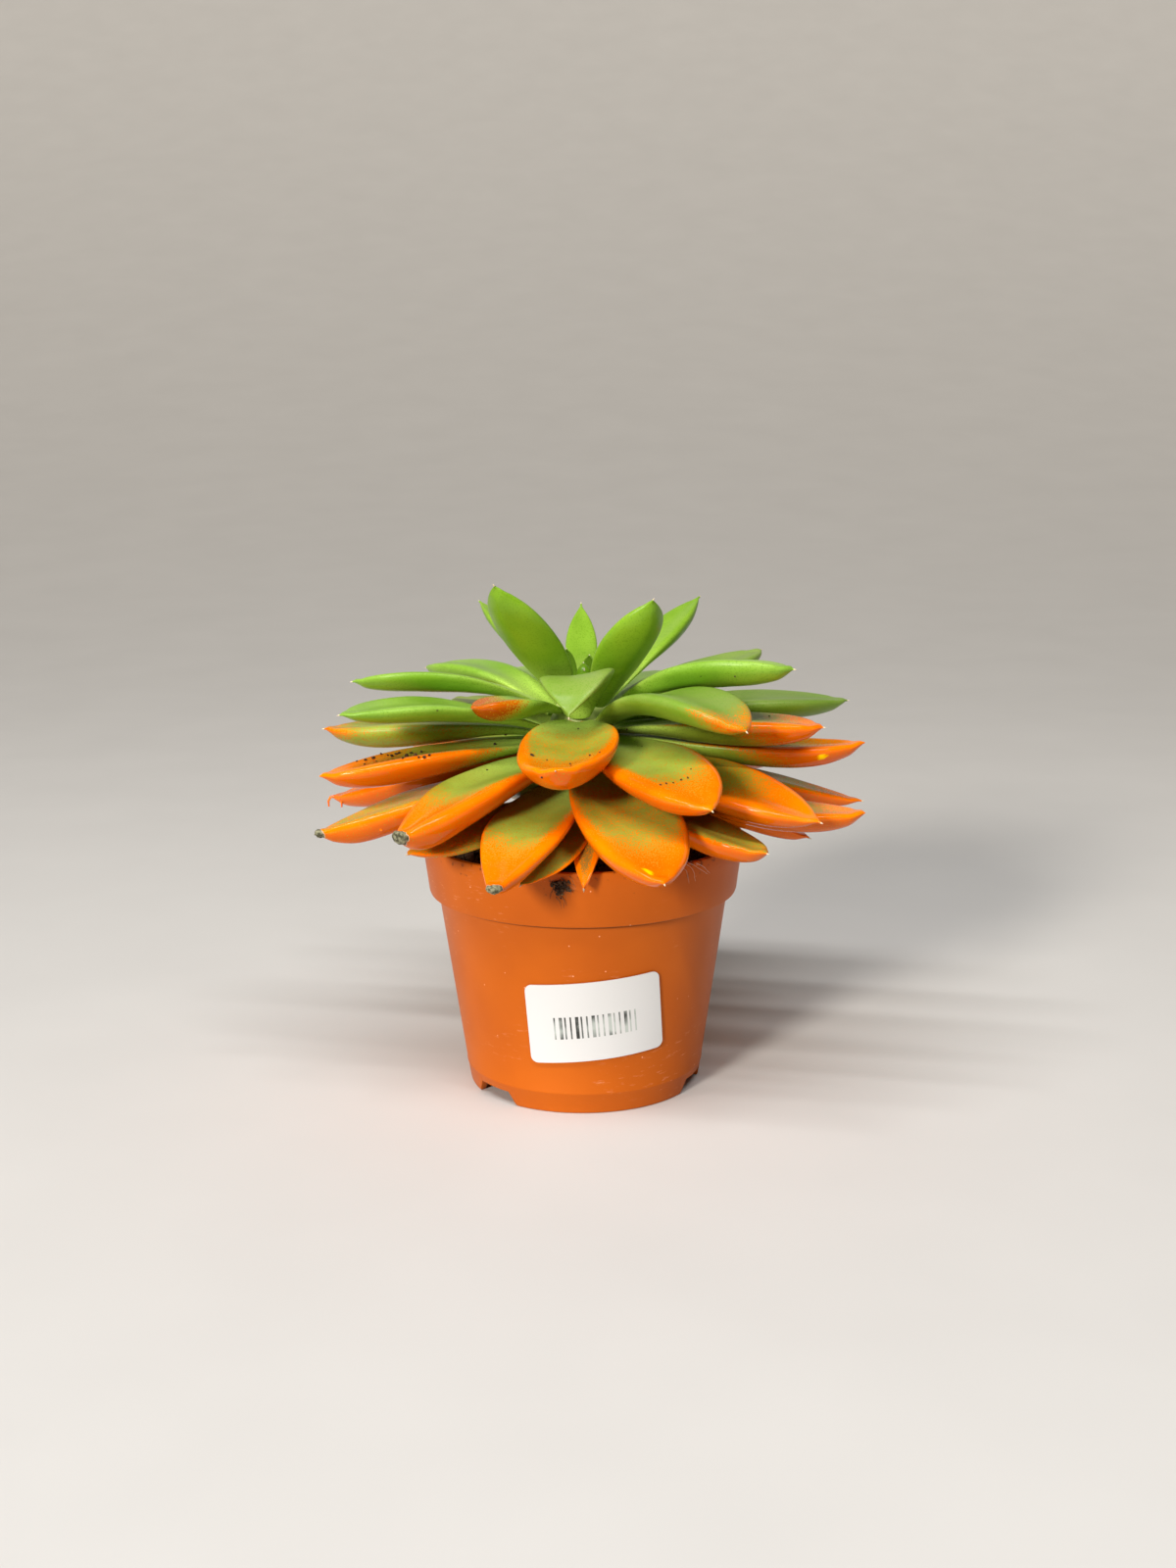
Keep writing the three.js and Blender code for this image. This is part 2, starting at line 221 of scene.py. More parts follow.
class Node(Enum):
    """A kind of shader node: its type, its inputs in the order of use, the output that is wanted, and its settings."""

    OBJECT = ("TexCoord", (), 3, {})
    UV = ("TexCoord", (), 2, {})
    ATTRIBUTE = ("Attribute", (), 2, {})
    X = ("SeparateXYZ", (0,), 0, {})
    Y = ("SeparateXYZ", (0,), 1, {})
    Z = ("SeparateXYZ", (0,), 2, {})
    MAPPING = ("Mapping", (0, "Scale"), 0, {})
    NOISE = ("TexNoise", (0, "Scale", "Detail", "Roughness"), 0, {})
    VORONOI = ("TexVoronoi", (0, "Scale"), 0, {})
    BUMP = ("Bump", ("Strength", "Distance", "Height", "Normal"), 0, {})
    MIX = ("Mix", (0, 6, 7), 2, {"data_type": "RGBA"})
    RANGE = ("MapRange", range(5), 0, {})
    SMOOTH_RANGE = ("MapRange", range(5), 0, {"interpolation_type": "SMOOTHSTEP"})
    ADD, SUBTRACT, MULTIPLY, MULTIPLY_ADD, MAXIMUM, LESS_THAN, GREATER_THAN, FRACT = (
        ("Math", range(3), 0, {"operation": operation})
        for operation in "ADD SUBTRACT MULTIPLY MULTIPLY_ADD MAXIMUM LESS_THAN GREATER_THAN FRACT".split()
    )


class Bench:
    """One procedural material while it is made: its shader, object coordinates and the way to add nodes."""

    def __init__(self, name: str, **constants: float | tuple) -> None:
        """Makes the material with its constant shader settings.

        Args:
            name: The material's name.
            constants: Shader sockets, with _ for a space, and their values.
        """
        self.made = bpy.data.materials.new(name)
        self.made.use_nodes = True
        self.tree = self.made.node_tree
        self.shader = self.tree.nodes["Principled BSDF"]
        for socket, value in constants.items():
            self.shader.inputs[socket.replace("_", " ")].default_value = value
        self.place = self.add(Node.OBJECT)

    def add(self, kind: Node, *inputs: object, **settings: str) -> bpy.types.NodeSocket:
        """Adds one node with its settings and links.

        Args:
            kind: The kind of node.
            inputs: Its inputs in the kind's order, each a value, an sRGB hex colour or a socket to link from.
            settings: More of the node's own properties.

        Returns:
            The output that the kind names.
        """
        name, keys, out, preset = kind.value
        node = self.tree.nodes.new("ShaderNode" + name)
        for key, value in {**preset, **settings}.items():
            setattr(node, key, value)
        for key, value in zip(keys, inputs):
            if isinstance(value, bpy.types.NodeSocket):
                self.tree.links.new(value, node.inputs[key])
            else:
                node.inputs[key].default_value = srgb(value) if isinstance(value, str) else value
        return node.outputs[out]

    def finish(self, **links: bpy.types.NodeSocket) -> bpy.types.Material:
        """Links sockets to the shader.

        Args:
            links: Shader sockets, with _ for a space, and what drives them.

        Returns:
            The material.
        """
        for socket, value in links.items():
            self.tree.links.new(value, self.shader.inputs[socket.replace("_", " ")])
        return self.made


@dataclass(frozen=True)
class Finish:
    """A real material and how its surface was made."""

    name: str

    def material(self) -> bpy.types.Material:
        """The Blender material, made on first use."""
        return bpy.data.materials.get(self.name) or self.mixed()

    def mixed(self) -> bpy.types.Material:
        """Makes the Blender material."""
        raise NotImplementedError


@dataclass(frozen=True)
class SprayedLeaf(Finish):
    """Succulent leaf skin: firm wet tissue under a thin matt wax, so it is soft-edged green with a faint glow.

    Where the attribute "paint" is high it carries orange acrylic spray paint: an even glossy film whose border breaks
    up into fine droplets and thins out to an olive mist. "scar" is dry corky tissue where a tip died off, "under" tells
    the waxless underside from the upper face, and "along" runs from the root to the tip.
    """

    fresh: str = "#84B413"
    frosted: str = "#A3BE5C"
    pale: str = "#BAD85C"
    shade: str = "#5E8A0E"
    paint: str = "#FA8000"
    paint_deep: str = "#EC6800"
    # a darker orange for the paint on the underside: painted shade
    shaded_underside_paint: str = "#D46000"
    mist: str = "#B58412"
    cork: str = "#8E8B70"
    cork_dark: str = "#45442F"
    dry_point: str = "#D6C8AC"
    spot: str = "#FFD400"
    wax: float = 0.55
    droplet_mm: float = 0.38
    patch_mm: float = 4.0

    def mixed(self) -> bpy.types.Material:
        """Leaf tissue first, then the paint over it, then the dead tips."""
        b = Bench(
            self.name, IOR=1.45, Specular_IOR_Level=0.27, Subsurface_Weight=0.08, Subsurface_Scale=0.0012,
            Subsurface_Radius=(1.0, 0.9, 0.25),
        )
        along, under, paint, scar, spot = (
            b.add(Node.ATTRIBUTE, attribute_name=key) for key in ("along", "under", "paint", "scar", "spot")
        )
        grain = b.add(Node.NOISE, b.place, per(self.droplet_mm), 2.0)
        patch = b.add(Node.NOISE, b.place, per(self.patch_mm), 3.0)
        cloud = b.add(Node.NOISE, b.place, per(16), 2.0)

        face = b.add(Node.MULTIPLY_ADD, under, -0.6, 1.0)
        dusting = b.add(Node.RANGE, cloud, 0.3, 0.65, 0.35, 1.0)
        bloom = b.add(Node.MULTIPLY, face, dusting)
        bloom = b.add(Node.MULTIPLY, bloom, self.wax)
        deep = b.add(Node.RANGE, cloud, 0.62, 0.42, 0.0, 0.55)
        tissue = b.add(Node.MIX, deep, self.fresh, self.shade)
        tissue = b.add(Node.MIX, bloom, tissue, self.frosted)
        root = b.add(Node.SMOOTH_RANGE, along, 0.5, 0.1, 0.0, 0.8)
        tissue = b.add(Node.MIX, root, tissue, self.pale)
        # stomata and grit: fine dark grain that only just shows
        pores = b.add(Node.RANGE, grain, 0.53, 0.66, 0.0, 0.65)
        tissue = b.add(Node.MIX, pores, tissue, self.shade)

        # the film's border: droplets as coarse as the render can show, on blotches of a few millimetres
        fine = b.add(Node.MULTIPLY_ADD, grain, 2.8, -1.4)
        blot = b.add(Node.MULTIPLY_ADD, patch, 0.36, -0.18)
        reach = b.add(Node.ADD, paint, fine)
        reach = b.add(Node.ADD, reach, blot)
        film = b.add(Node.SMOOTH_RANGE, reach, 0.3, 0.74)
        none = b.add(Node.RANGE, paint, 0.02, 0.16)
        film = b.add(Node.MULTIPLY, film, none)
        haze = b.add(Node.MULTIPLY_ADD, fine, 0.4, blot)
        haze = b.add(Node.ADD, paint, haze)
        haze = b.add(Node.SMOOTH_RANGE, haze, -0.05, 0.55, 0.0, 0.8)
        haze = b.add(Node.MULTIPLY, haze, none)
        tissue = b.add(Node.MIX, haze, tissue, self.mist)
        thick = b.add(Node.RANGE, cloud, 0.35, 0.65)
        orange = b.add(Node.MIX, thick, self.paint_deep, self.paint)
        # painted shade: the paint on the underside turns to the darker orange, for the shade that falls under the
        # leaves
        underside_shade = b.add(Node.MULTIPLY, under, 0.85)
        orange = b.add(Node.MIX, underside_shade, orange, self.shaded_underside_paint)
        colour = b.add(Node.MIX, film, tissue, orange)
        colour = b.add(Node.MIX, spot, colour, self.spot)

        rot = b.add(Node.NOISE, b.place, per(1.1), 2.0)
        rot = b.add(Node.RANGE, rot, 0.4, 0.6)
        cork = b.add(Node.MIX, rot, self.cork, self.cork_dark)
        old = b.add(Node.RANGE, scar, 0.5, 0.56)
        dry = b.add(Node.MIX, old, self.dry_point, cork)
        dead = b.add(Node.RANGE, scar, 0.3, 0.45)
        colour = b.add(Node.MIX, dead, colour, dry)

        gloss = b.add(Node.RANGE, film, 0.0, 1.0, 0.28, 0.1)
        bare = b.add(Node.SUBTRACT, 1.0, film)
        waxed = b.add(Node.MULTIPLY, bloom, bare)
        matt = b.add(Node.MULTIPLY_ADD, waxed, 0.18, gloss)
        dull = b.add(Node.MULTIPLY_ADD, scar, 0.4, matt)
        skin = b.add(Node.BUMP, 0.05, 0.0002, grain)
        dents = b.add(Node.BUMP, 0.12, 0.0006, patch, skin)
        return b.finish(Base_Color=colour, Roughness=dull, Normal=dents)


@dataclass(frozen=True)
class MouldedPolypropylene(Finish):
    """Injection-moulded polypropylene in terracotta orange: satin, slightly clouded, with pale scuffs and dust."""

    body: str = "#C4600F"
    cloud: str = "#B4540E"
    scuff: str = "#EBA67C"
    # dark peat brown: specks near the rim, and also the painted shade under the collar
    soil_and_shade_tone: str = "#5A3418"
    rim: tuple[float, float] = (0.062, 0.071)
    # the heights of the band just under the collar that is darkened as painted shade
    collar_shade_band: tuple[float, float] = (0.0544, 0.0552)
    collar: float = 0.0557

    def mixed(self) -> bpy.types.Material:
        """The coloured plastic, then scuffs, dust specks, specks of peat near the rim, and a painted shade line just
        under the collar.
        """
        b = Bench(self.name, IOR=1.49, Specular_IOR_Level=0.15)
        flow = b.add(Node.NOISE, b.place, per(30), 3.0)
        colour = b.add(Node.RANGE, flow, 0.35, 0.68, 0.0, 0.6)
        colour = b.add(Node.MIX, colour, self.body, self.cloud)
        # rubbed marks, about 1 mm by 5 mm, lying round the pot
        lying = b.add(Node.MAPPING, b.place, (0.35, 0.35, 1.8))
        rub = b.add(Node.NOISE, lying, per(1.6), 4.0, 0.65)
        where = b.add(Node.NOISE, b.place, per(22), 1.0)
        rub = b.add(Node.RANGE, rub, 0.6, 0.74, 0.0, 0.8)
        where = b.add(Node.RANGE, where, 0.5, 0.66)
        scuffs = b.add(Node.MULTIPLY, rub, where)
        grit = b.add(Node.VORONOI, b.place, per(5))
        grit = b.add(Node.RANGE, grit, 0.05, 0.03)
        marks = b.add(Node.MAXIMUM, scuffs, grit)
        colour = b.add(Node.MIX, marks, colour, self.scuff)
        height = b.add(Node.Z, b.place)
        splash_and_shade = b.add(Node.NOISE, b.place, per(2.2), 5.0)
        rim = b.add(Node.RANGE, height, *self.rim, 0.0, 0.2)
        splash_and_shade = b.add(Node.ADD, splash_and_shade, rim)
        splash_and_shade = b.add(Node.RANGE, splash_and_shade, 0.76, 0.84, 0.0, 0.7)
        # painted shade: a dark band in the peat brown just under the collar, where the collar's shadow falls
        painted_collar_shade = b.add(Node.RANGE, height, *self.collar_shade_band, 0.0, 0.75)
        collar = b.add(Node.LESS_THAN, height, self.collar)
        painted_collar_shade = b.add(Node.MULTIPLY, painted_collar_shade, collar)
        splash_and_shade = b.add(Node.MAXIMUM, splash_and_shade, painted_collar_shade)
        colour = b.add(Node.MIX, splash_and_shade, colour, self.soil_and_shade_tone)
        satin = b.add(Node.RANGE, flow, 0.3, 0.7, 0.36, 0.46)
        satin = b.add(Node.MULTIPLY_ADD, marks, 0.3, satin)
        tooth = b.add(Node.NOISE, b.place, per(0.5), 2.0)
        tooth = b.add(Node.BUMP, 0.06, 0.0002, tooth)
        sink = b.add(Node.BUMP, 0.08, 0.001, flow, tooth)
        return b.finish(Base_Color=colour, Roughness=satin, Normal=sink)


@dataclass(frozen=True)
class CoatedPaper(Finish):
    """Coated thermal paper with plain printed bars: bright white, faintly glossy, the ink's edges a little soft."""

    paper: str = "#D9DBDC"
    ink: str = "#2C2F2C"
    faded: str = "#B9C2BE"
    width_mm: float = 37.0
    bar_mm: float = 1.45
    row_across: tuple[float, float] = (0.19, 0.82)
    row_up: tuple[float, float] = (0.3, 0.58)

    def mixed(self) -> bpy.types.Material:
        """White paper with one plain row of bars in its lower half, of which every third is wide."""
        b = Bench(self.name, IOR=1.5)
        flat = b.add(Node.UV)
        across = b.add(Node.X, flat)
        up = b.add(Node.Y, flat)
        beat = b.add(Node.MULTIPLY, across, self.width_mm / self.bar_mm)
        beat = b.add(Node.FRACT, beat)
        wide = b.add(Node.MULTIPLY, across, self.width_mm / (3 * self.bar_mm))
        wide = b.add(Node.FRACT, wide)
        wide = b.add(Node.RANGE, wide, 0.33, 0.34, 0.62, 0.3)
        bars = b.add(Node.LESS_THAN, beat, wide)
        for coordinate, (low, high) in ((across, self.row_across), (up, self.row_up)):
            above = b.add(Node.GREATER_THAN, coordinate, low)
            below = b.add(Node.LESS_THAN, coordinate, high)
            bars = b.add(Node.MULTIPLY, bars, above)
            bars = b.add(Node.MULTIPLY, bars, below)
        worn = b.add(Node.NOISE, b.place, per(6), 2.0)
        worn = b.add(Node.RANGE, worn, 0.4, 0.62)
        ink = b.add(Node.MIX, worn, self.faded, self.ink)
        colour = b.add(Node.MIX, bars, self.paper, ink)
        fibre = b.add(Node.NOISE, b.place, per(0.7), 3.0)
        sheen = b.add(Node.RANGE, fibre, 0.0, 1.0, 0.36, 0.5)
        relief = b.add(Node.BUMP, 0.08, 0.0001, fibre)
        return b.finish(Base_Color=colour, Roughness=sheen, Normal=relief)


@dataclass(frozen=True)
class Peat(Finish):
    """Peat-based potting mix: crumbly, nearly black where moist, with dry brown fibre and a few pale grains."""

    moist: str = "#2A1A0E"
    dry: str = "#5E4126"
    pale: str = "#A58A63"

    def mixed(self) -> bpy.types.Material:
        """Dark crumb colour with dry lumps and rare pale grains."""
        b = Bench(self.name, IOR=1.45)
        lump = b.add(Node.NOISE, b.place, per(3), 5.0, 0.7)
        dryness = b.add(Node.RANGE, lump, 0.42, 0.68)
        colour = b.add(Node.MIX, dryness, self.moist, self.dry)
        grains = b.add(Node.VORONOI, b.place, per(2.4))
        grains = b.add(Node.RANGE, grains, 0.12, 0.08, 0.0, 0.8)
        colour = b.add(Node.MIX, grains, colour, self.pale)
        rough = b.add(Node.RANGE, lump, 0.0, 1.0, 0.8, 1.0)
        relief = b.add(Node.BUMP, 0.7, 0.0008, lump)
        return b.finish(Base_Color=colour, Roughness=rough, Normal=relief)


@dataclass(frozen=True)
class Fibre(Finish):
    """Dry plant fibre or root hair: a thin matt thread, a little lighter in places."""

    dark: str = "#4A3220"
    light: str = "#7A5A38"

    def mixed(self) -> bpy.types.Material:
        """One thread colour that changes along its length."""
        b = Bench(self.name, IOR=1.45)
        tone = b.add(Node.NOISE, b.place, per(2), 2.0)
        colour = b.add(Node.MIX, tone, self.dark, self.light)
        rough = b.add(Node.RANGE, tone, 0.0, 1.0, 0.6, 0.9)
        return b.finish(Base_Color=colour, Roughness=rough)


@dataclass(frozen=True)
class CorkyStem(Finish):
    """The stem's skin: green and waxy at the growing point, browner and corky with dry leaf scars towards the soil."""

    green: str = "#A3B35E"
    cork: str = "#77603F"

    def mixed(self) -> bpy.types.Material:
        """Cork below that gives way to green above."""
        b = Bench(self.name, IOR=1.45)
        height = b.add(Node.Z, b.place)
        ridges = b.add(Node.MAPPING, b.place, (1.0, 1.0, 3.0))
        bark = b.add(Node.NOISE, ridges, per(4), 4.0)
        rise = b.add(Node.RANGE, height, 0.07, 0.1, -0.2, 0.8)
        rise = b.add(Node.ADD, rise, bark)
        rise = b.add(Node.RANGE, rise, 0.4, 0.8)
        colour = b.add(Node.MIX, rise, self.cork, self.green)
        rough = b.add(Node.RANGE, rise, 0.0, 1.0, 0.85, 0.5)
        relief = b.add(Node.BUMP, 0.5, 0.0006, bark)
        return b.finish(Base_Color=colour, Roughness=rough, Normal=relief)


@dataclass(frozen=True)
class SprayPaintDrip(Finish):
    """Cured drips of the spray paint: a thick glossy orange film, redder where it is thickest."""

    thin: str = "#FF8200"
    thick: str = "#E04A08"

    def mixed(self) -> bpy.types.Material:
        """Orange that deepens in blotches, with a wet-looking surface."""
        b = Bench(self.name, IOR=1.5)
        pool = b.add(Node.NOISE, b.place, per(1.5), 2.0)
        share = b.add(Node.RANGE, pool, 0.4, 0.65)
        colour = b.add(Node.MIX, share, self.thin, self.thick)
        gloss = b.add(Node.RANGE, pool, 0.0, 1.0, 0.18, 0.32)
        return b.finish(Base_Color=colour, Roughness=gloss)


@dataclass(frozen=True)
class MattFloor(Finish):
    """Matt pale laminate board, faintly mottled."""

    tone: str = "#D2D0CD"
    mottle: str = "#CBC9C6"

    def mixed(self) -> bpy.types.Material:
        """A plain pale surface."""
        b = Bench(self.name, Roughness=0.75)
        soft = b.add(Node.NOISE, b.place, per(60), 2.0)
        colour = b.add(Node.MIX, soft, self.tone, self.mottle)
        return b.finish(Base_Color=colour)


YOUNG_SKIN = SprayedLeaf("succulent_leaf_young_waxy", fresh="#76A010", wax=0.26)
GROWN_SKIN = SprayedLeaf("succulent_leaf_grown_waxy", fresh="#7FB01E", frosted="#A8C468", shade="#628E18", wax=0.45)
# painted shade: darker oranges for the one leaf whose painted part lies in shade
SHADED_PAINT_SKIN = SprayedLeaf(
    "succulent_leaf_with_spray_paint_darkened_as_shade", paint="#C05C00", paint_deep="#A04600", shaded_underside_paint="#9C4600"
)
FROSTED_SKIN = SprayedLeaf("succulent_leaf_frosted_waxy", fresh="#7CA61C", frosted="#83954C", wax=0.85)
OLD_SKIN = SprayedLeaf(
    "succulent_leaf_with_acrylic_spray_paint",
    wax=0.7, fresh="#86A01C", frosted="#9FAE4C", shade="#5A6E16", pale="#AECB5C",
)
DRY_SKIN = SprayedLeaf(
    "dried_leaf_with_acrylic_spray_paint", wax=0.2, fresh="#8A6A2A", frosted="#A98C4C", pale="#B79A50", shade="#5A4018"
)
POT_PLASTIC = MouldedPolypropylene("moulded_polypropylene_terracotta")
LABEL_PAPER = CoatedPaper("coated_paper_plain_bars")
PEAT = Peat("peat_potting_mix")
FIBRE = Fibre("dry_peat_fibre")
HAIR = Fibre("white_root_hair", dark="#C9BDAE", light="#EFE8DD")
STEM_SKIN = CorkyStem("corky_succulent_stem")
DRIP_PAINT = SprayPaintDrip("acrylic_spray_paint_drip")
FLOOR_BOARD = MattFloor("matt_laminate_board")


# ---------------------------------------------------------------- camera and studio


@dataclass
class PhotoCamera:
    """The photograph's camera: a 45 mm lens on a 36 mm long side, a little above the plant, looking slightly down."""

    place: Vector = field(default_factory=lambda: Vector((0.0016, -0.535, 0.201)))
    lens: float = 45.0
    sensor: float = 36.0
    pitch: float = -12.25
    roll: float = -0.44
    photo: tuple[int, int] = (1200, 1600)

    def axes(self) -> tuple[Vector, Vector, Vector]:
        """The camera's right, up and forward directions."""
        tilt, turn = math.radians(self.pitch), math.radians(self.roll)
        forward = Vector((0, math.cos(tilt), math.sin(tilt)))
        level = Vector((1, 0, 0))
        rise = level.cross(forward)
        right = level * math.cos(turn) + rise * math.sin(turn)
        return right, rise * math.cos(turn) - level * math.sin(turn), forward

    def build(self) -> None:
        """Makes the camera and sets it as the scene's."""
        data = bpy.data.cameras.new("photo_camera")
        data.lens, data.sensor_width = self.lens, self.sensor
        data.clip_start, data.clip_end = 0.01, 50
        camera = placed("photo_camera", data)
        right, up, forward = self.axes()
        camera.matrix_world = Matrix.Translation(self.place) @ Matrix((right, up, -forward)).transposed().to_4x4()
        bpy.context.scene.camera = camera

    def ray(self, across: float, down: float) -> Vector:
        """The direction of one of the photograph's pixels.

        Args:
            across: Pixels from the left.
            down: Pixels from the top.

        Returns:
            The direction from the camera's place.
        """
        right, up, forward = self.axes()
        reach = self.photo[1] * self.lens / self.sensor
        width, height = self.photo
        return (forward + right * ((across - width / 2) / reach) + up * ((height / 2 - down) / reach)).normalized()

    def hit(self, across: float, down: float) -> tuple[Vector, Vector] | None:
        """Finds what a pixel of the photograph shows of the finished pieces.

        Args:
            across: Pixels from the left.
            down: Pixels from the top.

        Returns:
            The place and the surface's normal there, or None.
        """
        graph = bpy.context.evaluated_depsgraph_get()
        found, place, normal, *_ = bpy.context.scene.ray_cast(graph, self.place, self.ray(across, down))
        return (place, normal) if found else None


@dataclass
class Studio:
    """A pale board that sweeps up behind the object, and plain soft light from the upper left, as in the photo."""

    front: float = -5.0
    back: float = 5.2
    top: float = 7.0
    half_width: float = 9.0
    curve: float = 4.6
    key_strength: float = 2.95
    key_angle: float = 11.0
    key_from: tuple[float, float, float] = (-0.46, -0.78, 0.43)
    key_tone: str = "#FFF8EE"
    strip_place: tuple[float, float, float] = (-0.12, -0.5, 0.95)
    strip_size: tuple[float, float] = (1.2, 0.05)
    strip_power: float = 12.0
    world: str = "#DDDAD6"
    world_strength: float = 0.05

    def build(self) -> None:
        """Makes the sweep, the lights and the surrounding light."""
        bm = bmesh.new()
        foot = self.back - self.curve
        corners = [bm.verts.new((-self.half_width, y, 0)) for y in (self.front, foot)]
        bm.edges.new(corners)
        turn = {"cent": (-self.half_width, foot, self.curve), "axis": (1, 0, 0), "angle": math.pi / 2}
        bmesh.ops.spin(bm, geom=[corners[1]], steps=48, **turn)
        end = max(bm.verts, key=lambda v: v.co.z)
        bm.edges.new((end, bm.verts.new((-self.half_width, end.co.y, self.top))))
        strip = bmesh.ops.extrude_edge_only(bm, edges=bm.edges[:])
        moved = [g for g in strip["geom"] if isinstance(g, bmesh.types.BMVert)]
        bmesh.ops.translate(bm, verts=moved, vec=(2 * self.half_width, 0, 0))
        bmesh.ops.recalc_face_normals(bm, faces=bm.faces)
        mesh = mesh_of("sweep", bm)
        mesh.materials.append(FLOOR_BOARD.material())
        sweep = placed("sweep", mesh)
        self._key()
        self._strip()
        world = bpy.data.worlds.new("studio")
        world.use_nodes = True
        background = world.node_tree.nodes["Background"]
        background.inputs["Color"].default_value = srgb(self.world)
        background.inputs["Strength"].default_value = self.world_strength
        bpy.context.scene.world = world
        bpy.context.scene.view_settings.view_transform = "Standard"

    def _key(self) -> None:
        """Adds the key light: far away and broad, so that the whole object is lit alike."""
        data = bpy.data.lights.new("key", "SUN")
        data.energy, data.angle, data.color = self.key_strength, math.radians(self.key_angle), srgb(self.key_tone)[:3]
        self._hang(data, Vector(self.key_from))

    def _strip(self) -> None:
        """Adds the long soft strip overhead that draws the highlight lines along the leaves' crests."""
        data = bpy.data.lights.new("strip", "AREA")
        data.shape, data.energy, (data.size, data.size_y) = "RECTANGLE", self.strip_power, self.strip_size
        self._hang(data, Vector(self.strip_place))

    @staticmethod
    def _hang(data: bpy.types.Light, place: Vector) -> None:
        """Hangs a light at a place and points it at the plant."""
        lamp = placed(data.name, data)
        lamp.location = place
        lamp.rotation_euler = (Vector((0, 0, 0.08)) - place).to_track_quat("-Z", "Y").to_euler()


# ---------------------------------------------------------------- leaves


class Tip(Enum):
    """How a leaf ends."""

    POINTED = "a small dry point"
    SCARRED = "a blunt corky scar"
    BLUNT = "a rounded end"


@dataclass(frozen=True)
class Look:
    """How one leaf differs from its plain solid, and how far the spray paint reaches on it.

    face and under are the painted shares of its length, from the tip; left and right are the widths of the painted
    bands along the upper face's margins, as shares of half its width, seen with the tip towards the viewer. spot is the
    place of a drop of yellow paint, as its share along and its turn round the section in degrees, and mist how much
    stray paint lies all over. trim is the share of the solid's length at which the leaf ends, and shift how many
    millimetres its outer part leans towards +X and +Z. blunt is how full the tip is, roll how many degrees the right
    margin is lifted, and keel how sharp the ridge below is, up to 1. plump, broad and hollow are how thick, wide and
    cupped it is beside its solid.
    """

    face: float = 0.0
    under: float = 0.0
    left: float = 0.0
    right: float = 0.0
    tip: Tip = Tip.POINTED
    spot: tuple[float, float] | None = None
    blunt: float = 0.7
    plump: float = 1.0
    roll: float = 0.0
    mist: float = 0.0
    trim: float = 1.0
    broad: float = 1.0
    shift: tuple[float, float] = (0.0, 0.0)
    hollow: float = 1.0
    keel: float = 0.0


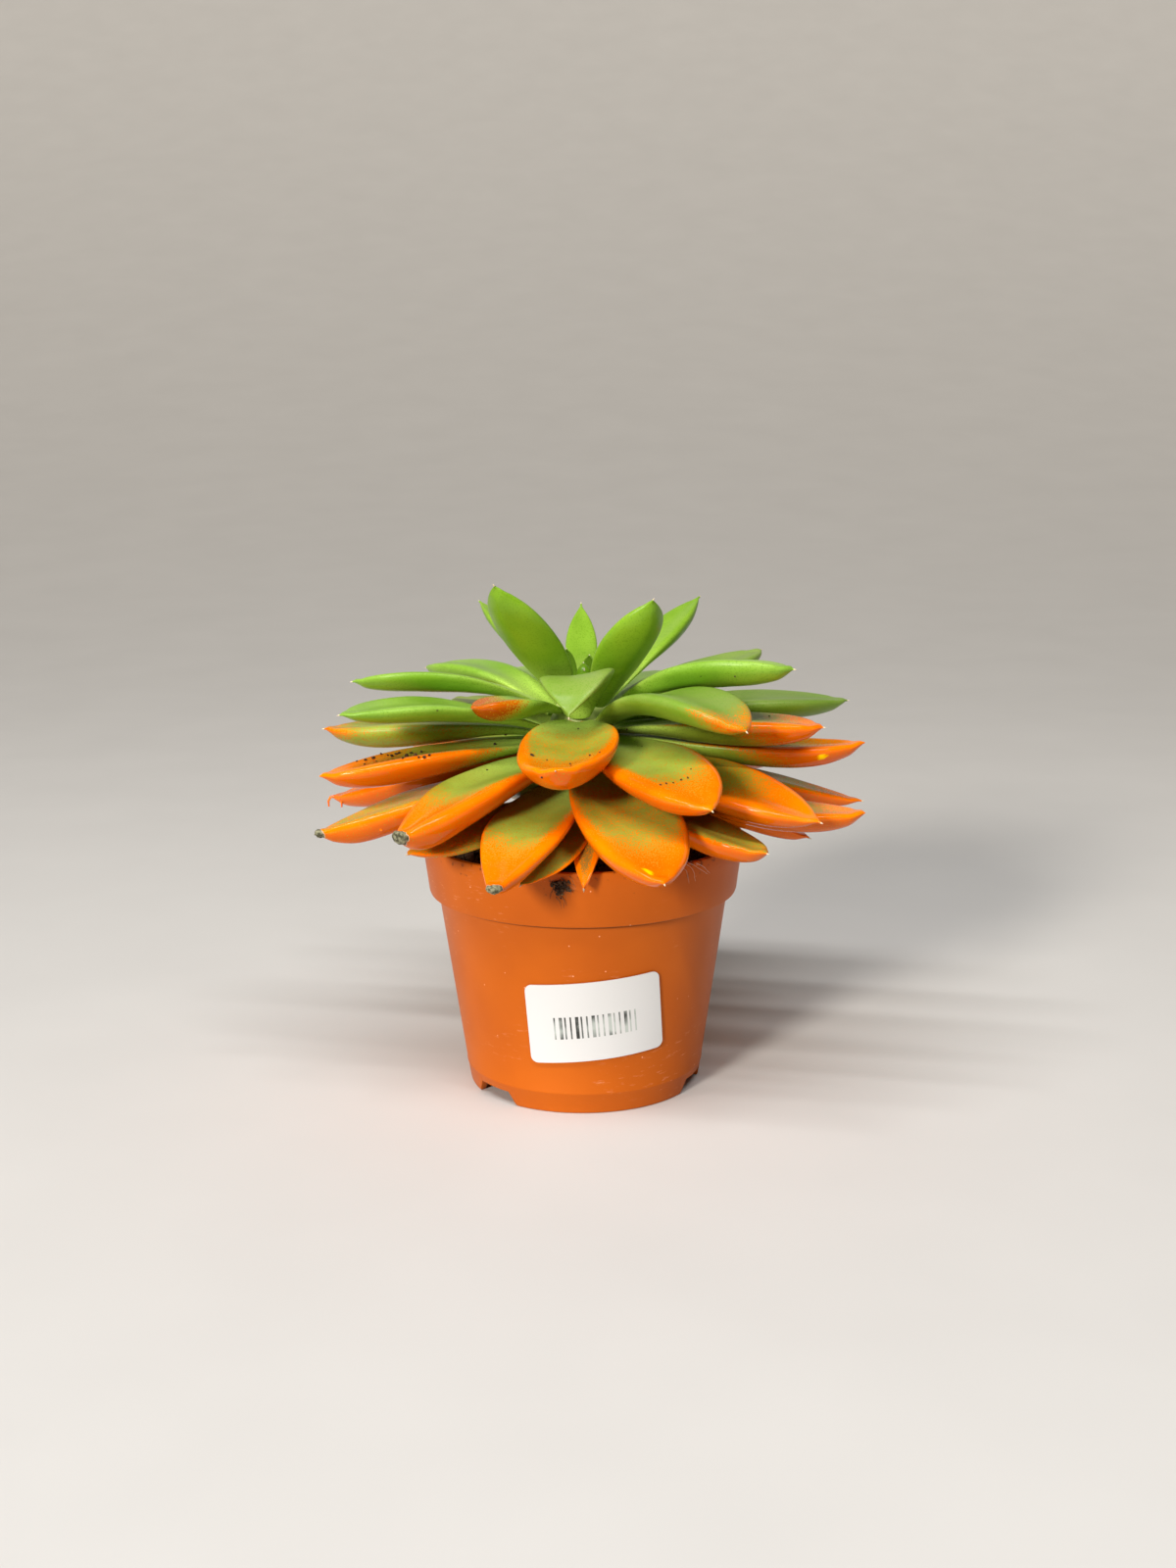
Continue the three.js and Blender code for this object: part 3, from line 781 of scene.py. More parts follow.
# each tier's plain look, and the looks of the leaves that the photograph shows; sizes are explained in Look
TIER_LOOKS = {
    "crown": Look(blunt=0.4),
    "bud": Look(blunt=0.3),
    "folded": Look(blunt=0.0),
    "upper": Look(blunt=1.0, plump=1.15),
    "middle": Look(0.3, 0.5, mist=0.1),
    "lower": Look(0.4, 0.8, 0.2, 0.2, mist=0.15),
    "dried": Look(0.5, 0.9, 0.5, 0.5, blunt=0.2, mist=0.2),
}
LOOKS = {
    "crown_leaf_1": Look(blunt=0.0, broad=0.9),
    "crown_leaf_2": Look(blunt=0.6, keel=1.0),
    "crown_leaf_3": Look(blunt=0.5, shift=(-2.0, 0.0), keel=1.0),
    "crown_leaf_4": Look(blunt=0.3, broad=0.7, shift=(0.8, 0.0)),
    "crown_leaf_5": Look(blunt=0.2, broad=0.76, shift=(0.0, -0.4)),
    "bud_leaf_3": Look(trim=0.72),
    "folded_leaf": Look(blunt=0.0, plump=1.9, shift=(1.8, 0.3)),
    "upper_leaf_1": Look(blunt=1.0, plump=0.8, broad=0.9, shift=(-2.2, 0.4)),
    "upper_leaf_3": Look(0.3, 0.24, tip=Tip.BLUNT, blunt=0.9, plump=1.5, shift=(2.4, -0.2)),
    "upper_leaf_4": Look(blunt=1.0, plump=1.1),
    "upper_leaf_5": Look(blunt=0.9, broad=0.8, shift=(0.6, -0.6)),
    "upper_leaf_6": Look(blunt=1.1, plump=0.9, broad=0.9),
    "upper_leaf_8": Look(blunt=0.8, plump=0.78, shift=(-0.6, 2.0)),
    "upper_leaf_9": Look(0.05, 0.04, blunt=1.1, broad=0.96, shift=(-0.6, -0.2)),
    "upper_leaf_10": Look(blunt=0.9, plump=0.95),
    "upper_leaf_11": Look(0.28, 1.2, 0.14, 0.1, blunt=1.1, mist=0.2, broad=1.05, plump=1.05, shift=(2.4, 0.9)),
    "middle_leaf_2": Look(trim=0.85),
    "middle_leaf_1": Look(0.06, 0.03, mist=0.13),
    "middle_leaf_3": Look(
        0.3, 1.2, right=0.14, tip=Tip.SCARRED, blunt=0.5, plump=1.05, roll=8, mist=0.05, broad=0.98,
        shift=(-1.8, 3.2),
    ),
    "middle_leaf_4": Look(0.2, 0.24, 0.08, blunt=0.9),
    "middle_leaf_5": Look(0.27, 1.2, 0.2, 0.1, blunt=0.45, mist=0.1),
    "middle_leaf_8": Look(0.36, 0.6, 0.05, 0.1, mist=0.16, tip=Tip.BLUNT, blunt=0.75, shift=(0.0, 1.2)),
    "middle_leaf_9": Look(0.26, 0.36, 0.12, spot=(0.84, -160.0), tip=Tip.BLUNT, blunt=0.8, plump=0.9),
    "middle_leaf_10": Look(0.5, 0.6, mist=0.1, trim=0.86, shift=(0.0, -0.8)),
    "middle_leaf_12": Look(0.3, 1.2, 0.03, 0.22, tip=Tip.SCARRED, blunt=0.45, mist=0.1, shift=(-1.8, 1.8)),
    "middle_leaf_13": Look(0.1, 0.3),
    "middle_leaf_15": Look(0.36, 1.2, 0.06, 0.1, blunt=0.3, roll=6, mist=0.24),
    "middle_leaf_16": Look(0.1, 1.0, 0.06, 0.06, tip=Tip.SCARRED, blunt=0.0, roll=6, mist=0.32, shift=(-0.3, 2.2)),
    "lower_leaf_1": Look(
        0.27, 1.2, 0.1, 0.07, spot=(0.93, 120.0), blunt=0.5, mist=0.22, broad=1.02, shift=(0.8, 1.0),
    ),
    "lower_leaf_2": Look(0.9, 1.0, 0.4, 0.4, tip=Tip.BLUNT, blunt=1.0, shift=(-0.4, 0.5)),
    "lower_leaf_5": Look(0.2, 0.3, mist=0.25, broad=0.66, plump=0.8, shift=(0.0, -0.8)),
    "lower_leaf_7": Look(0.2, 1.0, 0.06, 0.1, tip=Tip.BLUNT, blunt=1.1, mist=0.2),
    "lower_leaf_8": Look(0.05, 0.1, mist=0.24, plump=0.8, shift=(0.6, 1.8), hollow=-0.6),
    "lower_leaf_9": Look(0.4, 0.8, mist=0.15, trim=0.82),
    "lower_leaf_10": Look(0.2, 0.3, mist=0.2, trim=0.8, shift=(0.0, 3.0)),
    "lower_leaf_11": Look(under=1.2, right=0.06, mist=0.14, shift=(-1.4, 1.0), broad=1.1, plump=0.7, roll=-12),
    "lower_leaf_12": Look(0.02, 1.2, blunt=0.9, roll=-8, mist=0.2, broad=1.02, trim=0.98, shift=(0.0, 1.8)),
    "lower_leaf_13": Look(0.3, 0.6, mist=0.4, trim=0.97, shift=(0.0, 2.2)),
    "lower_leaf_14": Look(0.2, 0.3, mist=0.2, trim=0.9),
    "dried_leaf": Look(0.1, 0.9, 0.4, 0.4, blunt=0.8, mist=0.2, broad=1.1, roll=20, shift=(-4.0, 0.8)),
}
SKINS = {
    **dict.fromkeys(("crown", "bud"), YOUNG_SKIN),
    "upper": GROWN_SKIN,
    **dict.fromkeys(("folded", "upper_leaf_6", "upper_leaf_9", "upper_leaf_10"), FROSTED_SKIN),
    **dict.fromkeys(("middle", "lower", "upper_leaf_11"), OLD_SKIN),
    # painted shade: this leaf's paint is darkened
    "upper_leaf_3": SHADED_PAINT_SKIN,
    "dried": DRY_SKIN,
}


@dataclass
class Section:
    """One cross-section of a leaf, in metres: its keel line's place, its directions, half width, thickness and cup."""

    spine: Vector
    across: Vector
    up: Vector
    half: float
    thick: float
    cup: float


@dataclass
class LeafForm:
    """A leaf's line and sections at shares of its length, with smooth values between them."""

    shares: list[float]
    sections: list[Section]

    RING_SHARES = (0.0, 0.12, 0.25, 0.4, 0.55, 0.7, 0.83, 0.92, 0.97)
    CORNERS = 10
    CROWN_HEIGHT, KEEL_DEPTH = 0.06, 0.94

    @classmethod
    def of_node(cls, node: str) -> "LeafForm":
        """Reads a leaf's sections from its CAD solid, whose rings of ten corners run from the root to the tip.

        Args:
            node: The CAD node's name.

        Returns:
            The leaf's form.
        """
        bm = bmesh.new()
        bm.from_mesh(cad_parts[node].data)
        weld(bm)
        poles = [v for v in bm.verts if len(v.link_edges) == cls.CORNERS]
        tip = max(poles, key=cls._stands_out)
        rings, seen, front = [], {tip}, [tip]
        while True:
            front = list({e.other_vert(v) for v in front for e in v.link_edges} - seen)
            if len(front) != cls.CORNERS:
                break
            rings.append(cls._read_ring(front, seen))
            seen.update(front)
        rings.reverse()
        rings.append(Section(tip.co.copy(), rings[-1].across, rings[-1].up, 0.35 * MM, 0.6 * MM, 0.0))
        for i, ring in enumerate(rings):
            line = rings[min(i + 1, len(rings) - 1)].spine - rings[max(i - 1, 0)].spine
            if ring.up.cross(line).dot(ring.across) < 0:
                ring.across = -ring.across
        bm.free()
        return cls([*cls.RING_SHARES, 1.0], rings)

    @staticmethod
    def _stands_out(pole: bmesh.types.BMVert) -> float:
        """How far a pole stands out of the plane of its neighbours: far at the tip, hardly at the root."""
        near = [e.other_vert(pole).co for e in pole.link_edges]
        middle = sum(near, Vector()) / len(near)
        normal = sum((f.normal * f.calc_area() for f in pole.link_faces), Vector()).normalized()
        return abs((pole.co - middle).dot(normal))

    @classmethod
    def _read_ring(cls, ring: list[bmesh.types.BMVert], nearer_tip: set[bmesh.types.BMVert]) -> Section:
        """Reads a cross-section from its ten corners.

        Args:
            ring: The corners, in any order.
            nearer_tip: The vertices between the ring and the tip.

        Returns:
            The section, with its across direction still of either sign.
        """
        left, order = set(ring), [ring[0]]
        while len(order) < len(ring):
            left.discard(order[-1])
            rim = [e for e in order[-1].link_edges if any(v in nearer_tip for f in e.link_faces for v in f.verts)]
            order.append(next(o for o in (e.other_vert(order[-1]) for e in rim) if o in left))
        co = [v.co for v in order]
        k = max(range(cls.CORNERS), key=lambda i: (co[i] - co[(i + 4) % cls.CORNERS]).length)
        one, other = co[k], co[(k + 4) % cls.CORNERS]
        crown, keel = co[(k + 2) % cls.CORNERS], co[(k + 7) % cls.CORNERS]
        up, chord = crown - keel, one - other
        thick, half = up.length, chord.length / 2
        up = up.normalized()
        spine = keel + up * (cls.KEEL_DEPTH * thick)
        across = (chord - up * chord.dot(up)).normalized()
        return Section(spine, across, up, half, thick, ((one + other) / 2 - spine).dot(up) / half)

    def at(self, share: float) -> Section:
        """The smooth section at a share of the leaf's length."""
        s, r = self.shares, self.sections
        i = max(j for j in range(len(s) - 1) if s[j] <= share or j == 0)
        before, after = max(i - 1, 0), min(i + 2, len(s) - 1)
        width = s[i + 1] - s[i]
        t = min(1.0, max(0.0, (share - s[i]) / width))
        ease = (2 * t**3 - 3 * t**2 + 1, t**3 - 2 * t**2 + t, 3 * t**2 - 2 * t**3, t**3 - t**2)

        def blend(get: Callable[[Section], float | Vector]) -> float | Vector:
            """Blends one value of the sections with a smooth curve through them."""
            a, b = get(r[i]), get(r[i + 1])
            slope_a = (b - get(r[before])) * (1 / (s[i + 1] - s[before]))
            slope_b = (get(r[after]) - a) * (1 / (s[after] - s[i]))
            return a * ease[0] + slope_a * (ease[1] * width) + b * ease[2] + slope_b * (ease[3] * width)

        up = blend(lambda x: x.up).normalized()
        across = blend(lambda x: x.across)
        across = (across - up * across.dot(up)).normalized()
        half, thick = max(blend(lambda x: x.half), 0.3 * MM), max(blend(lambda x: x.thick), 0.5 * MM)
        return Section(blend(lambda x: x.spine), across, up, half, thick, blend(lambda x: x.cup))


@dataclass
class Leaf:
    """One leaf's skin: a fine closed mesh over its CAD solid, with its paint and scars as attributes."""

    form: LeafForm
    look: Look
    sides: int = 52
    rows: int = 72
    root_cap: float = 0.03
    point_from: float = 0.955
    point_length: float = 1.2
    waviness: float = 0.16
    edge_waves: float = 0.0

    LAYERS = ("along", "under", "paint", "scar", "spot")
    WIDEST, THICKEST = 0.55, 0.68
    CLOSING, STUMP = 0.978, 0.96
    MARGIN = 0.25
    POINT = 0.3 * MM
    SWELLS, PITS = ((55, 1.6), (220, 0.25)), (1300, 0.5)

    def build(self) -> BMesh:
        """Maps a sphere's rows on the leaf's sections.

        Returns:
            The mesh with its attributes.
        """
        bm = bmesh.new()
        bmesh.ops.create_uvsphere(bm, u_segments=self.sides, v_segments=self.rows, radius=1)
        layers = {key: bm.verts.layers.float.new(key) for key in self.LAYERS}
        cache: dict[int, Section] = {}
        for v in bm.verts:
            row = 1 - math.acos(max(-1.0, min(1.0, v.co.z))) / math.pi
            turn = math.atan2(v.co.y, v.co.x)
            key = round(row * self.rows)
            share = self._share(row)
            if key not in cache:
                cache[key] = self.form.at(share)
            values = self._place(v, cache[key], row, share, turn)
            for name, value in zip(self.LAYERS, values):
                v[layers[name]] = value
        return bm

    def _share(self, row: float) -> float:
        """The share of the blade's length for a row of the sphere; rows crowd towards the tip."""
        run = (row - self.root_cap) / (self.point_from - self.root_cap)
        return (1 - (1 - min(1.0, max(0.0, run))) ** 1.35) * self.look.trim

    def _size(self, share: float) -> tuple[float, float]:
        """The blade's half width and thickness at a share of its length, with a full rounded tip.

        Args:
            share: The share of the blade's length.

        Returns:
            Both, in metres.
        """
        look, scarred, full = self.look, self.look.tip is Tip.SCARRED, self.look.blunt
        share = share / look.trim
        blade, swell = self.WIDEST, self.THICKEST
        cut, reach = (self.CLOSING, self.STUMP) if scarred else (1.0, 1.0)
        run = (max(0.0, min(share, cut) - blade)) / (1 - blade) * reach
        wide = (1 - run ** mix(1.9, 2.2, full)) ** max(0.5, mix(0.95, 0.6, full))
        run = (max(0.0, min(share, cut) - swell)) / (1 - swell) * reach
        deep = (1 - run**2) ** max(0.42, mix(0.85, 0.5, full)) * look.plump
        if scarred:
            wide *= mix(1.0, 0.75, smooth(blade, cut, share))
            deep *= mix(1.0, 1.35, smooth(swell, cut, share))
        if share > cut:
            close = (1 - ((share - cut) / (1 - cut)) ** 4) ** 0.25
            wide, deep = wide * close, deep * close
        half = self.form.at(min(share, blade)).half * wide * mix(1.0, look.broad, smooth(0.05, 0.4, share))
        return max(half, self.POINT), max(self.form.at(min(share, swell)).thick * deep, 2 * self.POINT)

    def _place(
        self, v: bmesh.types.BMVert, section: Section, row: float, share: float, turn: float
    ) -> tuple[float, ...]:
        """Moves one vertex to its place and works out its attributes.

        Args:
            v: The vertex.
            section: The leaf's section at its share.
            row: Its row on the sphere, from 0 at the root to 1 at the tip.
            share: Its share of the blade's length.
            turn: Its angle round the section.

        Returns:
            Its values for LAYERS.
        """
        x, y, look = math.cos(turn), math.sin(turn), self.look
        half, thick = self._size(share)
        round_off = smooth(0.93, 1.0, share / look.trim)
        edge = min(1.0, abs(x))
        if y >= 0:
            height = (LeafForm.CROWN_HEIGHT + self.MARGIN + 0.17 * x * x) * (1 - edge**3) ** 0.5 - self.MARGIN
        else:
            height = (self.MARGIN - LeafForm.KEEL_DEPTH) * (1 - edge ** (2 - 0.7 * look.keel)) ** 0.5 - self.MARGIN
        height = height * thick + section.cup * look.hollow * half * x * x
        height = mix(height, (0.5 * y - 0.44 + 0.4 * round_off) * thick, round_off)
        roll = math.radians(look.roll) * smooth(0.1, 0.5, share)
        across = section.across * math.cos(roll) + section.up * math.sin(roll)
        up = section.up * math.cos(roll) - section.across * math.sin(roll)
        point = section.spine + across * (x * half) + up * height
        if row < self.root_cap:
            point = section.spine.lerp(point, row / self.root_cap)
        if row > self.point_from:
            run = (row - self.point_from) / (1 - self.point_from)
            long = self.point_length if look.tip is Tip.POINTED else 0.4
            line = (self.form.sections[-1].spine - self.form.sections[-2].spine).normalized()
            centre = section.spine - section.up * (0.04 * thick)
            point = centre.lerp(point, (1 - run) ** 0.8) + line * (long * MM * run)
        (broad, much), (fine, less) = self.SWELLS
        swell = noise.noise(point * broad) * self.waviness * much + noise.noise(point * fine) * self.waviness * less
        if look.tip is Tip.SCARRED:
            pits, depth = self.PITS
            swell += smooth(0.95, 0.99, share / look.trim) * noise.noise(point * pits) * depth
        ripple = math.sin(share * 21 + 2 * x) * self.edge_waves * edge**2
        lean = Vector((look.shift[0], 0, look.shift[1])) * smooth(0.0, 0.65, share)
        v.co = point + (section.up * (swell * smooth(0.0, 0.15, share) + ripple) + lean) * MM
        under = smooth(0.12, -0.25, y)
        return share, under, self._paint(share, x, y), self._scar(row, share, v.co), self._spot(share, x, y)

    def _paint(self, share: float, x: float, y: float) -> float:
        """How much paint lies at a place of the leaf.

        Args:
            share: The share along it.
            x: From -1 at the left margin to 1 at the right one.
            y: Above 0 on the upper face.

        Returns:
            From 0, bare, to 1, covered.
        """
        r = self.look
        face = smooth(1 - r.face - 0.24, 1 - r.face + 0.2, share - 0.08 * (1 - abs(x))) if r.face else 0.0
        band = r.left if x < 0 else r.right
        if band > 0:
            edge, soft = 1 - band * smooth(0.2, 0.65, share), min(0.26, 0.03 + 2 * band)
            face = min(1.0, face + smooth(edge - soft, edge + 0.6 * soft, abs(x)) * smooth(0.15, 0.45, share))
        run = share + 0.14 * min(0.0, y)
        under = smooth(1 - r.under - 0.26, 1 - r.under + 0.1, run) if r.under else 0.0
        return max(mix(under, face, smooth(0.1, 0.38, y)), r.mist * smooth(0.1, 0.4, share))

    def _scar(self, row: float, share: float, place: Vector) -> float:
        """How much a place is dead dry tissue."""
        if self.look.tip is Tip.SCARRED:
            return smooth(0.973, 0.981, share / self.look.trim + 0.008 * noise.noise(place * 700))
        return 0.5 * smooth(self.point_from, self.point_from + 0.012, row) if self.look.tip is Tip.POINTED else 0.0

    def _spot(self, share: float, x: float, y: float) -> float:
        """How much of a yellow paint drop lies at a place."""
        if not self.look.spot:
            return 0.0
        along, turn = self.look.spot
        reach = math.hypot((share - along) / 0.022, (math.degrees(math.atan2(y, x)) - turn) / 12)
        return smooth(1.0, 0.7, reach)


@dataclass
class Rosette:
    """All the leaves, from the crown to the lowest ring, and the tiny ones round the growing point."""

    buds: tuple[tuple[float, float, float], ...] = (
        (10, 11, 74), (82, 13, 66), (150, 12, 70), (222, 14, 64), (294, 12, 70), (46, 8, 82), (180, 8, 82),
    )

    def build(self) -> None:
        """Builds every leaf as its own piece."""
        for node in sorted(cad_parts):
            tier = node.split("_")[0]
            if tier not in TIER_LOOKS:
                continue
            look = LOOKS.get(node, TIER_LOOKS[tier])
            leaf = Leaf(LeafForm.of_node(node), look)
            if tier == "dried":
                leaf.edge_waves, leaf.waviness = 0.8, 0.6
            piece("skin_" + node, leaf.build(), SKINS.get(node, SKINS[tier]), (node,))
        self._growing_point()

    def _growing_point(self) -> None:
        """Builds the cluster of tiny leaves that closes the rosette's middle."""
        cluster = bmesh.new()
        for azimuth, length, pitch in self.buds:
            form = self._bud(azimuth, length, pitch)
            leaf = Leaf(form, Look(), sides=20, rows=28, point_length=0.4, waviness=0.05)
            mesh = mesh_of("bud", leaf.build())
            cluster.from_mesh(mesh)
            bpy.data.meshes.remove(mesh)
        piece("growing_point", cluster, YOUNG_SKIN)

    @staticmethod
    def _bud(azimuth: float, length: float, pitch: float) -> LeafForm:
        """A tiny leaf's form.

        Args:
            azimuth: Its direction in degrees.
            length: Its length in millimetres.
            pitch: Its angle above the horizon at the root, in degrees.

        Returns:
            The form.
        """
        outward = around(azimuth, 1, 0) / MM
        root = around(azimuth, 3.2, 108.5)
        sections = []
        widths = (0.3, 0.44, 0.62, 0.78, 0.84, 0.74, 0.5, 0.3, 0.15, 0.05)
        shares = [*LeafForm.RING_SHARES, 1.0]
        for share, width in zip(shares, widths):
            angle = math.radians(pitch + 14 * share)
            line = outward * math.cos(angle) + Vector((0, 0, math.sin(angle)))
            up = Vector((0, 0, math.cos(angle))) - outward * math.sin(angle)
            half = width * length * 0.27 * MM
            sections.append(Section(root + line * (share * length * MM), up.cross(line), up, half, half * 0.9, 0.3))
        return LeafForm(shares, sections)


# ---------------------------------------------------------------- pot and label


@dataclass
class PlasticPot:
    """The nursery pot: a tapered cup with a collar, three foot notches and six drain holes. Sizes in millimetres."""

    foot_radius: float = 32.6
    shoulder: tuple[float, float] = (40.8, 56.5)
    collar_foot: float = 55.5
    wall: float = 1.2
    floor: tuple[float, float] = (5.0, 6.6)
    ring_line: float = 6.0
    notch_azimuths: tuple[float, ...] = (-49.5, 69.5, 188.0)
    notch: tuple[float, float, float] = (3.9, 11.8, 16.4)
    drains: int = 6
    drain_radius: float = 3.2
    drain_circle: float = 20.0
    edge: float = 0.3
    steps: int = 160

    def body(self, height: float) -> float:
        """The outer radius of the tapered body at a height."""
        radius, shoulder = self.shoulder
        return self.foot_radius + (radius - self.foot_radius) * height / shoulder

    def profile(self) -> list[tuple[float, float]]:
        """The pot's half section, from the axis under the floor, out, up and back inside."""
        low, top = self.floor
        ring = self.ring_line
        outside = [(h, self.body(h)) for h in (ring - 0.5, ring - 0.25, ring + 0.25, ring + 0.5, 20, 38)]
        raised = {ring - 0.25: 0.12, ring + 0.25: 0.12}
        return [
            (0, low), (29.9, low), (30.9, 0), (31.8, 0), (32.35, 0.2), (32.6, 0.8),
            *((r + raised.get(h, 0), h) for h, r in outside),
            (self.body(self.collar_foot), self.collar_foot), (42.4, 55.5), (42.95, 55.75), (43.2, 56.4), (43.65, 60),
            (44.5, 66.5), (45, 70.4), (44.85, 70.8), (44.5, 71), (43.9, 71), (43.55, 70.85), (43.4, 70.5), (42.1, 64),
            (40.8, 57.7),
            (self.body(self.collar_foot) - self.wall, 55.5), (self.body(30) - self.wall, 30),
            (self.body(top + 2) - self.wall, top + 2), (self.body(top) - self.wall - 1.4, top), (0, top),
        ]

    def build(self) -> None:
        """Spins the pot, cuts its notches and holes and rounds their edges."""
        body = turned(self.profile(), self.steps)
        bmesh.ops.recalc_face_normals(body, faces=body.faces)
        cutters = [self._notch(a) for a in self.notch_azimuths]
        cutters += [self._drain(360 / self.drains * i) for i in range(self.drains)]
        body = self._cut(body, cutters)
        cuts = [e for e in body.edges if e.is_manifold and e.calc_face_angle() > math.radians(48)]
        bmesh.ops.bevel(
            body, geom=cuts, offset=self.edge * MM, segments=2, profile=0.5, affect="EDGES", clamp_overlap=True,
            material=-1,
        )
        piece("moulded_pot", body, POT_PLASTIC, ("pot",), crease=32)

    def _notch(self, azimuth: float) -> BMesh:
        """The wedge that cuts one foot notch."""
        height, top, foot = self.notch
        bm = bmesh.new()
        bmesh.ops.create_cube(bm, size=1)
        for v in bm.verts:
            upper = v.co.z > 0
            width = top if upper else foot + (foot - top) * 0.5 / height
            v.co = Vector((v.co.x * width, v.co.y * 8 - 31.8, height if upper else -0.5)) * MM
        bmesh.ops.rotate(bm, verts=bm.verts, cent=(0, 0, 0), matrix=Matrix.Rotation(math.radians(azimuth), 3, "Z"))
        return bm

    def _drain(self, azimuth: float) -> BMesh:
        """The plug that cuts one drain hole."""
        bm = bmesh.new()
        place = Matrix.Translation(around(azimuth, self.drain_circle, sum(self.floor) / 2))
        size = dict.fromkeys(("radius1", "radius2"), self.drain_radius * MM)
        bmesh.ops.create_cone(bm, cap_ends=True, segments=28, depth=6 * MM, matrix=place, **size)
        return bm

    @staticmethod
    def _cut(body: BMesh, cutters: list[BMesh]) -> BMesh:
        """Takes the cutters out of the body.

        Args:
            body: The closed mesh, which is used up.
            cutters: Closed meshes, which are used up.

        Returns:
            The cut mesh.
        """
        made = [placed("cut", mesh_of("cut", bm)) for bm in (body, *cutters)]
        for cutter in made[1:]:
            modifier = made[0].modifiers.new("cut", "BOOLEAN")
            modifier.operation, modifier.object, modifier.solver = "DIFFERENCE", cutter, "EXACT"
        cut = bpy.data.meshes.new_from_object(made[0].evaluated_get(bpy.context.evaluated_depsgraph_get()))
        bm = bmesh.new()
        bm.from_mesh(cut)
        for obj in made:
            mesh = obj.data
            bpy.data.objects.remove(obj)
            bpy.data.meshes.remove(mesh)
        bpy.data.meshes.remove(cut)
        weld(bm)
        return bm


@dataclass
class Sticker:
    """The white paper label on the pot's front, a little tilted. Sizes in millimetres."""

    pot: PlasticPot
    width: float = 37.0
    height: float = 23.0
    thickness: float = 0.3
    corner: float = 2.0
    azimuth: float = 5.0
    centre: float = 28.0
    tilt: float = 5.0
    stand_off: float = 0.32

    def build(self) -> None:
        """Cuts a rounded rectangle, bends it round the pot and gives it its thickness."""
        bm = bmesh.new()
        w, h = self.width / 2, self.height / 2
        bm.faces.new([bm.verts.new(p) for p in ((-w, -h, 0), (w, -h, 0), (w, h, 0), (-w, h, 0))])
        bmesh.ops.bevel(
            bm, geom=list(bm.verts), offset=self.corner, offset_type="OFFSET", segments=6, profile=0.5,
            affect="VERTICES", material=-1,
        )
        for axis, reach, count in ((0, w, 48), (1, h, 12)):
            for i in range(1, count):
                place, normal = Vector(), Vector()
                place[axis], normal[axis] = -reach + 2 * reach * i / count, 1
                whole = bm.verts[:] + bm.edges[:] + bm.faces[:]
                bmesh.ops.bisect_plane(bm, geom=whole, plane_co=place, plane_no=normal)
        flat = bm.loops.layers.uv.new("flat")
        for face in bm.faces:
            for loop in face.loops:
                loop[flat].uv = (loop.vert.co.x / self.width + 0.5, loop.vert.co.y / self.height + 0.5)
        back = bmesh.ops.extrude_face_region(bm, geom=bm.faces[:])
        lifted = {v for v in back["geom"] if isinstance(v, bmesh.types.BMVert)}
        for v in bm.verts:
            v.co = self._on_wall(v.co.x, v.co.y, self.thickness if v in lifted else 0.0)
        piece("paper_label", bm, LABEL_PAPER, ("label",), crease=50)

    def _on_wall(self, x: float, y: float, lift: float) -> Vector:
        """Where a point of the flat label lies on the pot's wall."""
        tilt = math.radians(self.tilt)
        across = x * math.cos(tilt) - y * math.sin(tilt)
        height = self.centre + x * math.sin(tilt) + y * math.cos(tilt)
        wall = self.pot.body(height)
        return around(self.azimuth + math.degrees(across / wall), wall + self.stand_off + lift, height)


# ---------------------------------------------------------------- peat, stem and loose bits


